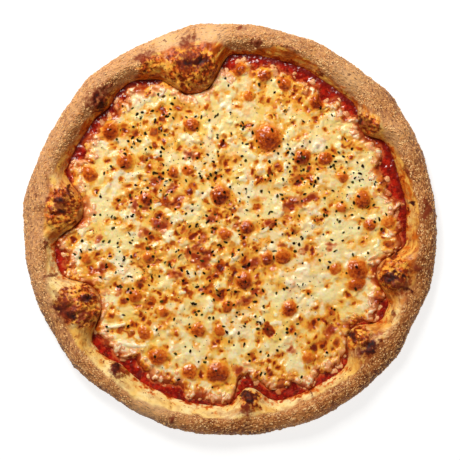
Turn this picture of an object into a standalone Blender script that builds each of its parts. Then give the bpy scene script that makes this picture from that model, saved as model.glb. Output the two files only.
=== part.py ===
"""A whole margherita pizza: dough with a bubbly rim, tomato sauce, melted cheese and dried herb flakes."""

import math
import random

import bmesh
import bpy
import numpy as np
from mathutils import Euler, Matrix, Vector
from mathutils.bvhtree import BVHTree
from mathutils.geometry import delaunay_2d_cdt

# Driving sizes, in metres
MM = 0.001
DIAMETER = 300 * MM
RIM_WIDTH = 21.5 * MM
RIM_HEIGHT = 18.5 * MM
DOUGH_FLOOR = 4.2 * MM
SAUCE_THICKNESS = 1.7 * MM
CHEESE_THICKNESS = 2.9 * MM
GAP = 0.3 * MM

# The rim's section: shares of its width and height, and how round its inner side is
CROWN_SHARE = 0.46
WIDEST_SHARE = 0.40
UNDERCUT = 9 * MM
PLUMPNESS = 0.6
BUBBLE_PLUMPNESS = 0.5
OUTER_TURNS = (-90, -55, -25, 0, 25, 48, 68)
INNER_SHARES = (0, 0.2, 0.4, 0.6, 0.78, 0.92, 1)

# The rim's unevenness: how much, how many to a full turn, and the seed of its random values
FOOT_SWAY, SWAYS_AROUND, SWAY_SEED = 1.0 * MM, 40, 3
RIM_SWELL, SWELLS_AROUND, SWELL_SEED = 1.3 * MM, 26, 5
RIM_LUMP, LUMPS_AROUND, LUMP_SEED = 0.9 * MM, 84, 6
LUMP_SIZE = 11 * MM
BUBBLE_EDGE = 0.7
BUBBLE_DOME = 1.5

# The edges of the two layers on the dough
SAUCE_CLEARANCE = 0.8 * MM
SAUCE_BEAD = 0.5 * MM
SAUCE_LUMP, SAUCE_LUMPS_AROUND, SAUCE_SEED = 0.7 * MM, 110, 17
LUMPS_SHARE = 0.4
TUCKED_SHARE = 0.9
CHEESE_CLEARANCE = 0.8 * MM
CHEESE_EDGE = 4.5 * MM
CHEESE_STEP = 0.9 * MM
CHEESE_LOBE, LOBES_AROUND, LOBE_SEED = 1.6 * MM, 90, 8
CHEESE_WAVE, WAVE_SIZE, WAVE_SEED = 0.55 * MM, 13 * MM, 12
BLISTER_RISE = 0.27
BLISTER_DOME = 0.8

# Mesh fineness
DIRECTIONS = 150
OUTLINE_SAMPLES = 720
SMOOTHING = 8
NOISE_ROWS = 64
CHEESE_SPACING = 7.2 * MM
EDGE_RING = 1.4 * MM
BLISTER_RINGS = ((5, 0.55), (8, 1.0))
BLISTER_INSET = 2.2 * MM
GRID_INSET = 4 * MM

# The herb flakes that are large enough to be solid
FLAKE_COUNT = 70
FLAKE_CORNERS = 7
FLAKE_LENGTH = (2.6 * MM, 4.2 * MM)
FLAKE_WIDTH = (1.3 * MM, 2.1 * MM)
FLAKE_THICKNESS = 0.7 * MM
FLAKE_DOME = 1.6
FLAKE_TILT = 0.25
FLAKE_SPREAD = 0.84
FLAKE_APART = 7 * MM
FLAKE_INSET = 5 * MM
FLAKE_SEED = 41
STRAY_HERBS = 0.12

# The photo's frame: places in it are read by eye, in pixels from its upper left corner
PHOTO_CENTRE = (229.97, 229.37)
PHOTO_DIAMETER = 412.5
PIXEL = DIAMETER / PHOTO_DIAMETER

# Soft corners of the dough's outline, clockwise from the top
RIM_CORNERS = (
    (226, 24), (258, 25), (278, 31), (318, 42), (356, 67), (391, 94), (410, 126), (424, 156),
    (434, 198), (437, 230), (434, 267), (430, 289), (409, 331), (399, 355), (362, 391), (341, 405),
    (318, 419), (289, 427), (255, 435), (205, 434), (170, 428), (132, 410), (91, 382), (73, 366),
    (56, 338), (39, 308), (27, 268), (24, 230), (23, 201), (32, 175), (47, 139), (62, 114),
    (88, 77), (126, 52), (163, 35), (194, 24),
)

# Bubbles that bulge from the rim over the cheese: place, half length along the rim, half width, rise in mm
BUBBLES = (
    (150, 67, 18, 13, 2.5), (192, 69, 31, 26, 4.5), (64, 208, 27, 21, 4.5), (80, 305, 28, 23, 4.5),
    (393, 274, 22, 18, 4.5), (358, 337, 18, 11, 3.0), (250, 399, 15, 13, 3.5), (119, 370, 13, 7, 2.0),
    (103, 103, 17, 8, 2.0), (370, 124, 17, 12, 2.5),
)

# How wide the sauce shows between rim and cheese: direction in degrees from the right, width in mm
SAUCE_RING = (
    (4, 8.5), (14, 9.0), (26, 8.0), (37, 2.0), (47, 8.5), (56, 8.5), (64, 4.5), (76, 9.0),
    (90, 8.5), (100, 3.0), (112, 2.5), (121, 8.0), (131, 5.0), (141, 7.5), (150, 5.5), (158, 9.0),
    (166, 3.0), (178, 3.5), (188, 8.0), (198, 4.5), (208, 2.5), (217, 8.0), (229, 8.0), (241, 9.0),
    (255, 9.5), (265, 7.5), (277, 7.0), (287, 7.5), (296, 4.5), (306, 8.5), (319, 4.5), (332, 8.0),
    (345, 2.5), (354, 6.5),
)

# Browned blisters on the cheese: place and half width
BLISTERS = (
    (269, 138, 14), (220, 195, 10), (218, 372, 11), (357, 270, 12), (158, 357, 10), (245, 281, 9),
    (283, 256, 8), (290, 309, 8), (199, 330, 8), (144, 333, 7), (190, 372, 8), (125, 162, 9),
    (90, 173, 8), (111, 131, 9), (192, 125, 8), (239, 69, 8), (264, 76, 8), (284, 83, 7),
    (316, 102, 8), (325, 159, 7), (342, 177, 6), (362, 200, 9), (342, 208, 6), (371, 225, 7),
    (388, 222, 7), (302, 158, 8), (146, 200, 7), (189, 170, 6), (226, 234, 7), (248, 227, 7),
    (136, 296, 7), (162, 312, 6), (226, 307, 6), (220, 330, 6), (249, 96, 6), (174, 172, 6),
    (357, 284, 9), (267, 258, 7), (308, 357, 7), (148, 257, 6), (87, 258, 6), (335, 269, 6),
)

# Where the herbs lie thickest: place and spread
HERB_PLACES = (
    (160, 130, 60), (300, 165, 55), (215, 210, 60), (140, 255, 50), (240, 290, 60), (360, 200, 40),
)


def place(x, y):
    """A place in the photo as metres from the pizza's middle."""
    return (x - PHOTO_CENTRE[0]) * PIXEL, (PHOTO_CENTRE[1] - y) * PIXEL


def angle_between(a, b):
    """The signed difference of two directions."""
    return (a - b + math.pi) % (2 * math.pi) - math.pi


def noise(x, y, seed, wrap=64):
    """Smooth random values from -1 to 1, one to a unit square, which repeat every wrap squares along x."""
    table = np.random.default_rng(seed).uniform(-1, 1, (wrap, NOISE_ROWS))
    left = np.floor(x).astype(int)
    low = np.floor(y).astype(int)
    u = (x - left) ** 2 * (3 - 2 * (x - left))
    v = (y - low) ** 2 * (3 - 2 * (y - low))
    here, right = left % wrap, (left + 1) % wrap
    near = table[here, low % NOISE_ROWS] * (1 - u) + table[right, low % NOISE_ROWS] * u
    far = table[here, (low + 1) % NOISE_ROWS] * (1 - u) + table[right, (low + 1) % NOISE_ROWS] * u
    return near * (1 - v) + far * v


def noise_around(direction, count, seed):
    """Smooth random values round the pizza, count to a full turn."""
    return noise(direction / (2 * math.pi) * count, np.zeros_like(direction), seed, wrap=count)


def smoothed(values, reach):
    """Values round a ring, each averaged with its neighbours."""
    weights = {step: reach + 1 - abs(step) for step in range(-reach, reach + 1)}
    return sum(np.roll(values, step) * weight for step, weight in weights.items()) / sum(weights.values())


SAMPLE_DIRECTIONS = np.arange(OUTLINE_SAMPLES) * (2 * math.pi / OUTLINE_SAMPLES)


def sampled(values, direction):
    """A ring of values read at any direction."""
    return np.interp(direction % (2 * math.pi), SAMPLE_DIRECTIONS, values, period=2 * math.pi)


def outline_ring():
    """The dough's outer radius: straight between its corners, then softened."""
    points = np.array([place(x, y) for x, y in RIM_CORNERS])
    angles = np.arctan2(points[:, 1], points[:, 0]) % (2 * math.pi)
    points = points[np.argsort(angles)]
    angles = np.sort(angles)
    after = np.searchsorted(angles, SAMPLE_DIRECTIONS, side="right") % len(angles)
    (x0, y0), (x1, y1) = points[after - 1].T, points[after].T
    across = (y1 - y0) * np.cos(SAMPLE_DIRECTIONS) - (x1 - x0) * np.sin(SAMPLE_DIRECTIONS)
    return smoothed((x0 * y1 - x1 * y0) / across, SMOOTHING)


def bubble_frames():
    """Each bubble's direction, distance, half length, half width and rise, in metres and radians."""
    for x, y, half_length, half_width, rise in BUBBLES:
        u, v = place(x, y)
        yield math.atan2(v, u), math.hypot(u, v), half_length * PIXEL, half_width * PIXEL, rise * MM


def foot_ring(outline):
    """Where the rim's inner slope meets the floor of the dough, pushed inwards by the bubbles."""
    foot = outline - RIM_WIDTH + noise_around(SAMPLE_DIRECTIONS, SWAYS_AROUND, SWAY_SEED) * FOOT_SWAY
    for direction, distance, half_length, half_width, _ in bubble_frames():
        along = angle_between(SAMPLE_DIRECTIONS, direction) * distance / half_length
        bulge = distance - half_width * np.clip(1 - along ** 2, 0, 1) ** BUBBLE_EDGE
        foot = np.where(np.abs(along) < 1, np.minimum(foot, bulge), foot)
    return smoothed(foot, SMOOTHING)


def cheese_ring(sauce):
    """The cheese's lobed outline, inside the sauce's."""
    directions = np.radians([row[0] for row in SAUCE_RING])
    widths = np.array([row[1] for row in SAUCE_RING]) * MM
    width = np.interp(SAMPLE_DIRECTIONS, directions, widths, period=2 * math.pi)
    lobes = noise_around(SAMPLE_DIRECTIONS, LOBES_AROUND, LOBE_SEED) * CHEESE_LOBE
    return sauce - np.maximum(smoothed(width, SMOOTHING) + lobes, CHEESE_CLEARANCE)


OUTLINE = outline_ring()
FOOT = foot_ring(OUTLINE)
SAUCE_EDGE = FOOT - SAUCE_CLEARANCE
CHEESE_OUTLINE = cheese_ring(SAUCE_EDGE)
SAUCE_BOTTOM = DOUGH_FLOOR + GAP
SAUCE_TOP = SAUCE_BOTTOM + SAUCE_THICKNESS
CHEESE_BOTTOM = SAUCE_TOP + GAP


def bubble_rise(x, y):
    """How far the rim's bubbles lift its surface."""
    rise = np.zeros_like(x)
    for direction, distance, half_length, half_width, height in bubble_frames():
        outward = x * math.cos(direction) + y * math.sin(direction) - distance
        along = y * math.cos(direction) - x * math.sin(direction)
        off = (outward / half_width) ** 2 + (along / half_length) ** 2
        rise += height * np.clip(1 - off, 0, 1) ** BUBBLE_DOME
    return rise


def rim_section(direction):
    """The rim's outer, crown and foot radius, its crown's height and how plump its inner side is."""
    outer = sampled(OUTLINE, direction)
    foot = sampled(FOOT, direction)
    crown = outer - (outer - foot) * CROWN_SHARE
    height = RIM_HEIGHT + noise_around(direction, SWELLS_AROUND, SWELL_SEED) * RIM_SWELL
    bubble = np.clip((outer - foot) / RIM_WIDTH - 1, 0, 1) * BUBBLE_PLUMPNESS
    return outer, crown, foot, height, np.minimum(PLUMPNESS + bubble, 1)


def rim_lumps(direction, across):
    """Small rises and dips of the rim's skin, from the direction and the distance along its section."""
    around = direction / (2 * math.pi) * LUMPS_AROUND
    return noise(around, across / LUMP_SIZE, LUMP_SEED, wrap=LUMPS_AROUND) * RIM_LUMP


def inner_side(direction, share):
    """The rim's inner side, share going from 0 at its crown to 1 at its foot."""
    outer, crown, foot, height, plump = rim_section(direction)
    slope = 0.5 + 0.5 * np.cos(math.pi * share)
    dome = np.sqrt(np.clip(1 - share ** 2, 0, 1))
    radius = crown + (foot - crown) * share
    z = DOUGH_FLOOR + (height - DOUGH_FLOOR) * (slope * (1 - plump) + dome * plump)
    x, y = radius * np.cos(direction), radius * np.sin(direction)
    lift = bubble_rise(x, y) + rim_lumps(direction, outer - radius)
    return x, y, z + lift * math.sqrt(1 - share)


def outer_side(direction, turn):
    """The rim's outer side, turn falling from a quarter circle at its crown to 0 where it is widest."""
    outer, crown, _, height, _ = rim_section(direction)
    widest = height * WIDEST_SHARE
    reach = outer - crown if turn > 0 else UNDERCUT
    rise = height - widest if turn > 0 else widest
    radius = outer - reach * (1 - math.cos(turn))
    z = widest + rise * math.sin(turn)
    x, y = radius * np.cos(direction), radius * np.sin(direction)
    lift = bubble_rise(x, y) + rim_lumps(direction, outer - radius)
    return x, y, z + lift * max(math.sin(turn), 0)


def blister_rise(x, y):
    """How far the browned blisters lift the cheese."""
    rise = np.zeros_like(x)
    for px, py, half_width in BLISTERS:
        u, v = place(px, py)
        reach = half_width * PIXEL
        off = ((x - u) ** 2 + (y - v) ** 2) / reach ** 2
        rise = np.maximum(rise, reach * BLISTER_RISE * np.clip(1 - off, 0, 1) ** BLISTER_DOME)
    return rise


def cheese_top(x, y):
    """The height of the cheese: rounded at its edge, wavy, with blisters."""
    inset = (sampled(CHEESE_OUTLINE, np.arctan2(y, x)) - np.hypot(x, y)) / CHEESE_EDGE
    inset = np.clip(inset, 0, 1)
    rounding = np.sqrt(1 - (1 - inset) ** 2)
    waves = noise(x / WAVE_SIZE, y / WAVE_SIZE, WAVE_SEED) * CHEESE_WAVE
    thickness = CHEESE_STEP + (CHEESE_THICKNESS - CHEESE_STEP + waves) * rounding
    return CHEESE_BOTTOM + thickness + blister_rise(x, y) * inset


def material(name, colour, roughness):
    """A plain material with the piece's colour."""
    made = bpy.data.materials.new(name)
    made.use_nodes = True
    shader = made.node_tree.nodes["Principled BSDF"]
    shader.inputs["Base Color"].default_value = (*colour, 1)
    shader.inputs["Roughness"].default_value = roughness
    shader.inputs["Metallic"].default_value = 0
    return made


def add_object(name, mesh, look):
    """An object of the mesh, shaded smooth, in the scene."""
    mesh.materials.append(look)
    mesh.shade_smooth()
    thing = bpy.data.objects.new(name, mesh)
    bpy.context.scene.collection.objects.link(thing)
    return thing


def turned_mesh(name, rings, bottom, top):
    """A closed mesh of rings of points, from the bottom's middle outwards and over to the top's middle."""
    shell = bmesh.new()
    loops = [[shell.verts.new(point) for point in zip(*ring)] for ring in rings]
    low = shell.verts.new((0, 0, bottom))
    high = shell.verts.new((0, 0, top))
    count = len(loops[0])
    for i in range(count):
        j = (i + 1) % count
        shell.faces.new((low, loops[0][j], loops[0][i]))
        shell.faces.new((high, loops[-1][i], loops[-1][j]))
        for inner, outer in zip(loops, loops[1:]):
            shell.faces.new((inner[i], inner[j], outer[j], outer[i]))
    bmesh.ops.triangulate(shell, faces=shell.faces)
    mesh = bpy.data.meshes.new(name)
    shell.to_mesh(mesh)
    shell.free()
    return mesh


def ring_at(direction, radius, height):
    """A ring of points at one radius for each direction and one height for each or for all."""
    return radius * np.cos(direction), radius * np.sin(direction), np.broadcast_to(height, radius.shape)


def make_crust(direction):
    """The dough: a flat base and the raised rim with its bubbles."""
    rings = [outer_side(direction, math.radians(turn)) for turn in OUTER_TURNS]
    rings += [inner_side(direction, share) for share in INNER_SHARES]
    look = material("baked dough", (0.58, 0.36, 0.17), 0.75)
    return add_object("crust", turned_mesh("crust", rings, 0, DOUGH_FLOOR), look)


def make_sauce(direction):
    """The tomato sauce: a thin layer on the dough, lumpy where it shows."""
    edge = sampled(SAUCE_EDGE, direction)
    cheese = sampled(CHEESE_OUTLINE, direction)
    lumps = np.abs(noise_around(direction, SAUCE_LUMPS_AROUND, SAUCE_SEED)) * SAUCE_LUMP
    rings = [
        ring_at(direction, edge, SAUCE_BOTTOM),
        ring_at(direction, edge, SAUCE_TOP - SAUCE_BEAD),
        ring_at(direction, edge + (cheese - edge) * LUMPS_SHARE, SAUCE_TOP + lumps),
        ring_at(direction, edge + (cheese - edge) * TUCKED_SHARE, SAUCE_TOP),
    ]
    look = material("tomato sauce", (0.35, 0.03, 0.02), 0.3)
    return add_object("sauce", turned_mesh("sauce", rings, SAUCE_BOTTOM, SAUCE_TOP), look)


def blister_points():
    """Points that give each blister a middle and two rings."""
    for px, py, half_width in BLISTERS:
        middle = Vector(place(px, py))
        yield middle
        for count, share in BLISTER_RINGS:
            for i in range(count):
                turn = 2 * math.pi * i / count
                yield middle + Vector((math.cos(turn), math.sin(turn))) * half_width * PIXEL * share


def cheese_points(outline):
    """Points of the cheese from above: its outline, a ring inside it, the blisters and a grid between."""
    points = list(outline)
    points += [point * (1 - EDGE_RING / point.length) for point in outline]
    blisters = [(Vector(place(x, y)), half_width * PIXEL) for x, y, half_width in BLISTERS]
    rings = [point for point in blister_points() if inset_of(point) > BLISTER_INSET]
    points += [p for i, p in enumerate(rings) if all((p - q).length > EDGE_RING for q in rings[:i])]
    side = int(DIAMETER / 2 / CHEESE_SPACING) + 1
    for row in range(-side, side + 1):
        for column in range(-side, side + 1):
            point = Vector((column + 0.5 * (row % 2), row * math.sqrt(0.75))) * CHEESE_SPACING
            clear = all((point - middle).length > reach + EDGE_RING for middle, reach in blisters)
            if clear and inset_of(point) > GRID_INSET:
                points.append(point)
    return points


def inset_of(point):
    """How far a point lies inside the cheese's outline."""
    return float(sampled(CHEESE_OUTLINE, math.atan2(point.y, point.x))) - point.length


def cheese_mesh(direction):
    """The cheese as a closed sheet: its top, its wall and its flat underside."""
    radius = sampled(CHEESE_OUTLINE, direction)
    outline = [Vector((r * math.cos(a), r * math.sin(a))) for r, a in zip(radius, direction)]
    border = [(i, (i + 1) % len(outline)) for i in range(len(outline))]
    top = delaunay_2d_cdt(cheese_points(outline), border, [], 1, 1e-6)
    bottom = delaunay_2d_cdt(outline, border, [], 1, 1e-6)
    heights = cheese_top(*np.array([tuple(point) for point in top[0]]).T)
    sheet = bmesh.new()
    upper = [sheet.verts.new((p.x, p.y, z)) for p, z in zip(top[0], heights)]
    lower = [sheet.verts.new((p.x, p.y, CHEESE_BOTTOM)) for p in bottom[0]]
    for a, b, c in top[2]:
        sheet.faces.new((upper[a], upper[b], upper[c]))
    for a, b, c in bottom[2]:
        sheet.faces.new((lower[a], lower[c], lower[b]))
    for a, b in border:
        sheet.faces.new((lower[a], lower[b], upper[b], upper[a]))
    bmesh.ops.triangulate(sheet, faces=sheet.faces)
    bmesh.ops.recalc_face_normals(sheet, faces=sheet.faces)
    mesh = bpy.data.meshes.new("cheese")
    sheet.to_mesh(mesh)
    sheet.free()
    return mesh


def herb_density(x, y):
    """How thickly the herbs lie at a place, from 0 to 1."""
    nearest = 0
    for px, py, spread in HERB_PLACES:
        u, v = place(px, py)
        nearest = max(nearest, math.exp(-((x - u) ** 2 + (y - v) ** 2) / (spread * PIXEL) ** 2))
    return STRAY_HERBS + (1 - STRAY_HERBS) * nearest


def flake_places(draw):
    """Places for the flakes, thickest where the herbs are, none too near another."""
    chosen = []
    while len(chosen) < FLAKE_COUNT:
        radius = DIAMETER / 2 * FLAKE_SPREAD * math.sqrt(draw.random())
        turn = draw.uniform(0, 2 * math.pi)
        point = Vector((radius * math.cos(turn), radius * math.sin(turn)))
        wanted = draw.random() < herb_density(point.x, point.y) and inset_of(point) > FLAKE_INSET
        if wanted and all((point - q).length > FLAKE_APART for q in chosen):
            chosen.append(point)
    return chosen


def flake_mesh(draw):
    """One dried leaf fragment: a thin plate with uneven corners, a little domed."""
    length = draw.uniform(*FLAKE_LENGTH) / 2
    width = draw.uniform(*FLAKE_WIDTH) / 2
    turns = [2 * math.pi * (i + draw.uniform(-0.25, 0.25)) / FLAKE_CORNERS for i in range(FLAKE_CORNERS)]
    reach = [draw.uniform(0.75, 1.1) for _ in turns]
    rim = [(length * r * math.cos(t), width * r * math.sin(t)) for r, t in zip(reach, turns)]
    half = FLAKE_THICKNESS / 2
    points = [(x, y, half) for x, y in rim] + [(x, y, -half) for x, y in rim]
    points += [(0, 0, half * FLAKE_DOME), (0, 0, -half * FLAKE_DOME)]
    count = FLAKE_CORNERS
    faces = []
    for i in range(count):
        j = (i + 1) % count
        faces += [(2 * count, i, j), (2 * count + 1, count + j, count + i)]
        faces += [(i, count + i, count + j), (i, count + j, j)]
    mesh = bpy.data.meshes.new("flake")
    mesh.from_pydata(points, [], faces)
    return mesh


def make_flakes(cheese):
    """The largest herb flakes, each half sunk in the cheese, in a collection of their own."""
    draw = random.Random(FLAKE_SEED)
    surface = bmesh.new()
    surface.from_mesh(cheese.data)
    tree = BVHTree.FromBMesh(surface)
    flakes = bpy.data.collections.new("flakes")
    for point in flake_places(draw):
        hit, normal, _, _ = tree.ray_cast(Vector((point.x, point.y, DIAMETER)), Vector((0, 0, -1)))
        flake = bpy.data.objects.new("flake", flake_mesh(draw))
        tilt = [draw.uniform(-FLAKE_TILT, FLAKE_TILT) for _ in range(2)]
        lean = Euler((*tilt, 0)).to_matrix()
        spin = Matrix.Rotation(draw.uniform(0, 2 * math.pi), 3, "Z")
        facing = normal.to_track_quat("Z", "Y").to_matrix()
        flake.matrix_world = Matrix.Translation(hit) @ (facing @ lean @ spin).to_4x4()
        flakes.objects.link(flake)
    surface.free()
    return flakes


def fuse(thing, extras):
    """Joins a collection's objects to a thing with one Boolean union, and removes them."""
    bpy.context.scene.collection.children.link(extras)
    union = thing.modifiers.new("fused flakes", "BOOLEAN")
    union.operation = "UNION"
    union.operand_type = "COLLECTION"
    union.collection = extras
    union.solver = "EXACT"
    evaluated = thing.evaluated_get(bpy.context.evaluated_depsgraph_get())
    joined = bpy.data.meshes.new_from_object(evaluated)
    thing.modifiers.clear()
    thing.data = joined
    for extra in list(extras.objects):
        bpy.data.objects.remove(extra)
    bpy.data.collections.remove(extras)


def make_cheese(direction):
    """The melted cheese with its blisters and the largest herb flakes."""
    look = material("melted cheese", (0.88, 0.62, 0.25), 0.35)
    cheese = add_object("cheese", cheese_mesh(direction), look)
    fuse(cheese, make_flakes(cheese))
    cheese.data.shade_smooth()
    cheese.data.set_sharp_from_angle(angle=math.radians(50))
    return cheese


def main():
    for thing in list(bpy.data.objects):
        bpy.data.objects.remove(thing)
    direction = np.arange(DIRECTIONS) * (2 * math.pi / DIRECTIONS)
    make_crust(direction)
    make_sauce(direction)
    make_cheese(direction)


main()
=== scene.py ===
import math
import random

import bpy
import numpy as np
from mathutils import Euler, Matrix, Vector
from mathutils.bvhtree import BVHTree


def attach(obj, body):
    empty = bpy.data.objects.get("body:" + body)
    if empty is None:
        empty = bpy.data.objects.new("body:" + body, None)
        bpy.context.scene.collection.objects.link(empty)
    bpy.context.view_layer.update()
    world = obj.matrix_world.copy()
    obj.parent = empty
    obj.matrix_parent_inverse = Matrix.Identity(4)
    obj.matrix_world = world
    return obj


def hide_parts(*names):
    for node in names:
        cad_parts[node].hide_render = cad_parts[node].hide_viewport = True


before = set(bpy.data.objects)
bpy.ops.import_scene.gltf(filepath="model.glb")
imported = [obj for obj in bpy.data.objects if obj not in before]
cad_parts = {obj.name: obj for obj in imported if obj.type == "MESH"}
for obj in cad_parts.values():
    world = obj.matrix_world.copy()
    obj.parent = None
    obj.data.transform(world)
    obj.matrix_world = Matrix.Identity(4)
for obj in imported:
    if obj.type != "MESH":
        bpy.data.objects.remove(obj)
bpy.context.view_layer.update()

# The pizza's driving sizes, in metres, as in the part's own source
MM = 0.001
DIAMETER = 300 * MM
RIM_WIDTH = 21.5 * MM
RIM_HEIGHT = 18.5 * MM
DOUGH_FLOOR = 4.2 * MM
SAUCE_THICKNESS = 1.7 * MM
CHEESE_THICKNESS = 2.9 * MM
GAP = 0.3 * MM

# The rim's section: shares of its width and height, and how round its inner side is
CROWN_SHARE = 0.46
WIDEST_SHARE = 0.40
UNDERCUT = 9 * MM
PLUMPNESS = 0.6
BUBBLE_PLUMPNESS = 0.5

# The rim's unevenness: how much, how many to a full turn, and the seed of its random values
FOOT_SWAY, SWAYS_AROUND, SWAY_SEED = 1.0 * MM, 40, 3
RIM_SWELL, SWELLS_AROUND, SWELL_SEED = 1.3 * MM, 26, 5
RIM_LUMP, LUMPS_AROUND, LUMP_SEED = 0.9 * MM, 84, 6
LUMP_SIZE = 11 * MM
BUBBLE_EDGE = 0.7
BUBBLE_DOME = 1.5

# The edges of the two layers on the dough
SAUCE_CLEARANCE = 0.8 * MM
CHEESE_CLEARANCE = 0.8 * MM
CHEESE_EDGE = 4.5 * MM
CHEESE_STEP = 0.2 * MM
CHEESE_LOBE, LOBES_AROUND, LOBE_SEED = 1.6 * MM, 90, 8
CHEESE_WAVE, WAVE_SIZE, WAVE_SEED = 0.55 * MM, 13 * MM, 12
BLISTER_RISE = 0.27
BLISTER_DOME = 0.8

# The melt's own ragged edge, and where it closes the gap to the rim: at narrow sauce and large bubbles
RAG, RAGS_AROUND, RAG_SEED = 5.0 * MM, 80, 27
RAG_OUT = 2.3 * MM
RAG_IN = 4.0 * MM
CLOSED_WIDTH = 5.5 * MM
CLOSING = 2.5 * MM
TOUCHED_BUBBLE = 10 * MM
RUN_UP = 0.5 * MM

# Rings of values round the pizza
OUTLINE_SAMPLES = 720
SMOOTHING = 8
NOISE_ROWS = 64

# The herb flakes that the solid holds, then the small ones
FLAKE_COUNT = 70
FLAKE_CORNERS = 7
FLAKE_LENGTH = (2.6 * MM, 4.2 * MM)
FLAKE_WIDTH = (1.3 * MM, 2.1 * MM)
FLAKE_THICKNESS = 0.7 * MM
FLAKE_DOME = 1.6
FLAKE_TILT = 0.25
FLAKE_SPREAD = 0.84
FLAKE_APART = 7 * MM
FLAKE_INSET = 5 * MM
FLAKE_SEED = 41
STRAY_HERBS = 0.12
CRUMB_COUNT = 380
CRUMB_LENGTH = (1.6 * MM, 3.6 * MM)
CRUMB_WIDTH = (1.3 * MM, 2.4 * MM)
CRUMB_THICKNESS = 0.6 * MM
CRUMB_APART = 1.2 * MM
CRUMB_INSET = 2.5 * MM
DUST_COUNT = 800
DUST_LENGTH = (0.5 * MM, 1.2 * MM)
DUST_WIDTH = (0.4 * MM, 0.9 * MM)
DUST_APART = 0.6 * MM
DUST_INSET = 1.5 * MM

# The photo's frame: places in it are read in pixels from its upper left corner
PHOTO_SIDE = 460
PHOTO_CENTRE = (229.97, 229.37)
PHOTO_DIAMETER = 412.5
PIXEL = DIAMETER / PHOTO_DIAMETER

# Soft corners of the dough's outline, clockwise from the top
RIM_CORNERS = (
    (226, 24), (258, 25), (278, 31), (318, 42), (356, 67), (391, 94), (410, 126), (424, 156),
    (434, 198), (437, 230), (434, 267), (430, 289), (409, 331), (399, 355), (362, 391), (341, 405),
    (318, 419), (289, 427), (255, 435), (205, 434), (170, 428), (132, 410), (91, 382), (73, 366),
    (56, 338), (39, 308), (27, 268), (24, 230), (23, 201), (32, 175), (47, 139), (62, 114),
    (88, 77), (126, 52), (163, 35), (194, 24),
)

# Bubbles that bulge from the rim over the cheese: place, half length along the rim, half width, rise in mm
BUBBLES = (
    (150, 67, 18, 13, 2.5), (192, 69, 31, 26, 4.5), (64, 208, 27, 21, 4.5), (80, 305, 28, 23, 4.5),
    (393, 274, 22, 18, 4.5), (358, 337, 18, 11, 3.0), (250, 399, 15, 13, 3.5), (119, 370, 13, 7, 2.0),
    (103, 103, 17, 8, 2.0), (370, 124, 17, 12, 2.5),
)

# How wide the sauce shows between rim and cheese: direction in degrees from the right, width in mm
SAUCE_RING = (
    (4, 8.5), (14, 9.0), (26, 8.0), (37, 2.0), (47, 8.5), (56, 8.5), (64, 4.5), (76, 9.0),
    (90, 8.5), (100, 3.0), (112, 2.5), (121, 8.0), (131, 5.0), (141, 7.5), (150, 5.5), (158, 9.0),
    (166, 3.0), (178, 3.5), (188, 8.0), (198, 4.5), (208, 2.5), (217, 8.0), (229, 8.0), (241, 9.0),
    (255, 9.5), (265, 7.5), (277, 7.0), (287, 7.5), (296, 4.5), (306, 8.5), (319, 4.5), (332, 8.0),
    (345, 2.5), (354, 6.5),
)

# Browned blisters on the cheese: place, half width, and how dark they are baked
BLISTERS = (
    (269, 138, 14, 0.85), (220, 195, 10, 1.0), (218, 372, 11, 0.9), (357, 270, 12, 0.8), (158, 357, 10, 0.8),
    (245, 281, 9, 0.95), (283, 256, 8, 0.8), (290, 309, 8, 0.9), (199, 330, 8, 0.75), (144, 333, 7, 0.7),
    (190, 372, 8, 0.75), (125, 162, 9, 0.8), (90, 173, 8, 0.75), (111, 131, 9, 0.9), (192, 125, 8, 0.8),
    (239, 69, 8, 0.8), (264, 76, 8, 0.85), (284, 83, 7, 0.75), (316, 102, 8, 0.85), (325, 159, 7, 0.75),
    (342, 177, 6, 0.7), (362, 200, 9, 0.8), (342, 208, 6, 0.65), (371, 225, 7, 0.75), (388, 222, 7, 0.55),
    (302, 158, 8, 0.95), (146, 200, 7, 0.95), (189, 170, 6, 0.7), (226, 234, 7, 0.8), (248, 227, 7, 0.9),
    (136, 296, 7, 0.7), (162, 312, 6, 0.7), (226, 307, 6, 0.75), (220, 330, 6, 0.65), (249, 96, 6, 0.6),
    (174, 172, 6, 0.8), (357, 284, 9, 0.8), (267, 258, 7, 0.9), (308, 357, 7, 0.6), (148, 257, 6, 0.7),
    (87, 258, 6, 0.6), (335, 269, 6, 0.6),
)

# Small browned spots that the solid leaves out
SPOTS = (
    (207, 107, 4, 0.5), (234, 87, 3, 0.5), (236, 106, 4, 0.5), (269, 99, 5, 0.55), (236, 160, 4, 0.6),
    (164, 141, 4, 0.75), (155, 145, 5, 0.6), (198, 156, 4, 0.65), (189, 192, 5, 0.8), (174, 191, 4, 0.55),
    (131, 193, 4, 0.6), (131, 226, 5, 0.6), (156, 222, 5, 0.9), (101, 273, 4, 0.6), (112, 316, 5, 0.6),
    (124, 300, 5, 0.65), (131, 324, 4, 0.6), (175, 334, 5, 0.6), (270, 170, 5, 0.65), (312, 180, 4, 0.75),
    (350, 158, 4, 0.6), (360, 148, 6, 0.6), (383, 182, 5, 0.85), (379, 190, 4, 0.7), (383, 237, 4, 0.6),
    (310, 291, 5, 0.6), (281, 380, 6, 0.7), (268, 370, 4, 0.65), (316, 337, 4, 0.6), (268, 361, 5, 0.6),
    (301, 318, 4, 0.6), (315, 307, 4, 0.6), (222, 270, 4, 0.7), (237, 369, 3, 0.8), (264, 64, 4, 0.7),
    (296, 225, 4, 0.5), (318, 232, 4, 0.45), (176, 308, 4, 0.5), (202, 290, 4, 0.6), (258, 334, 4, 0.5),
)

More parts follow.
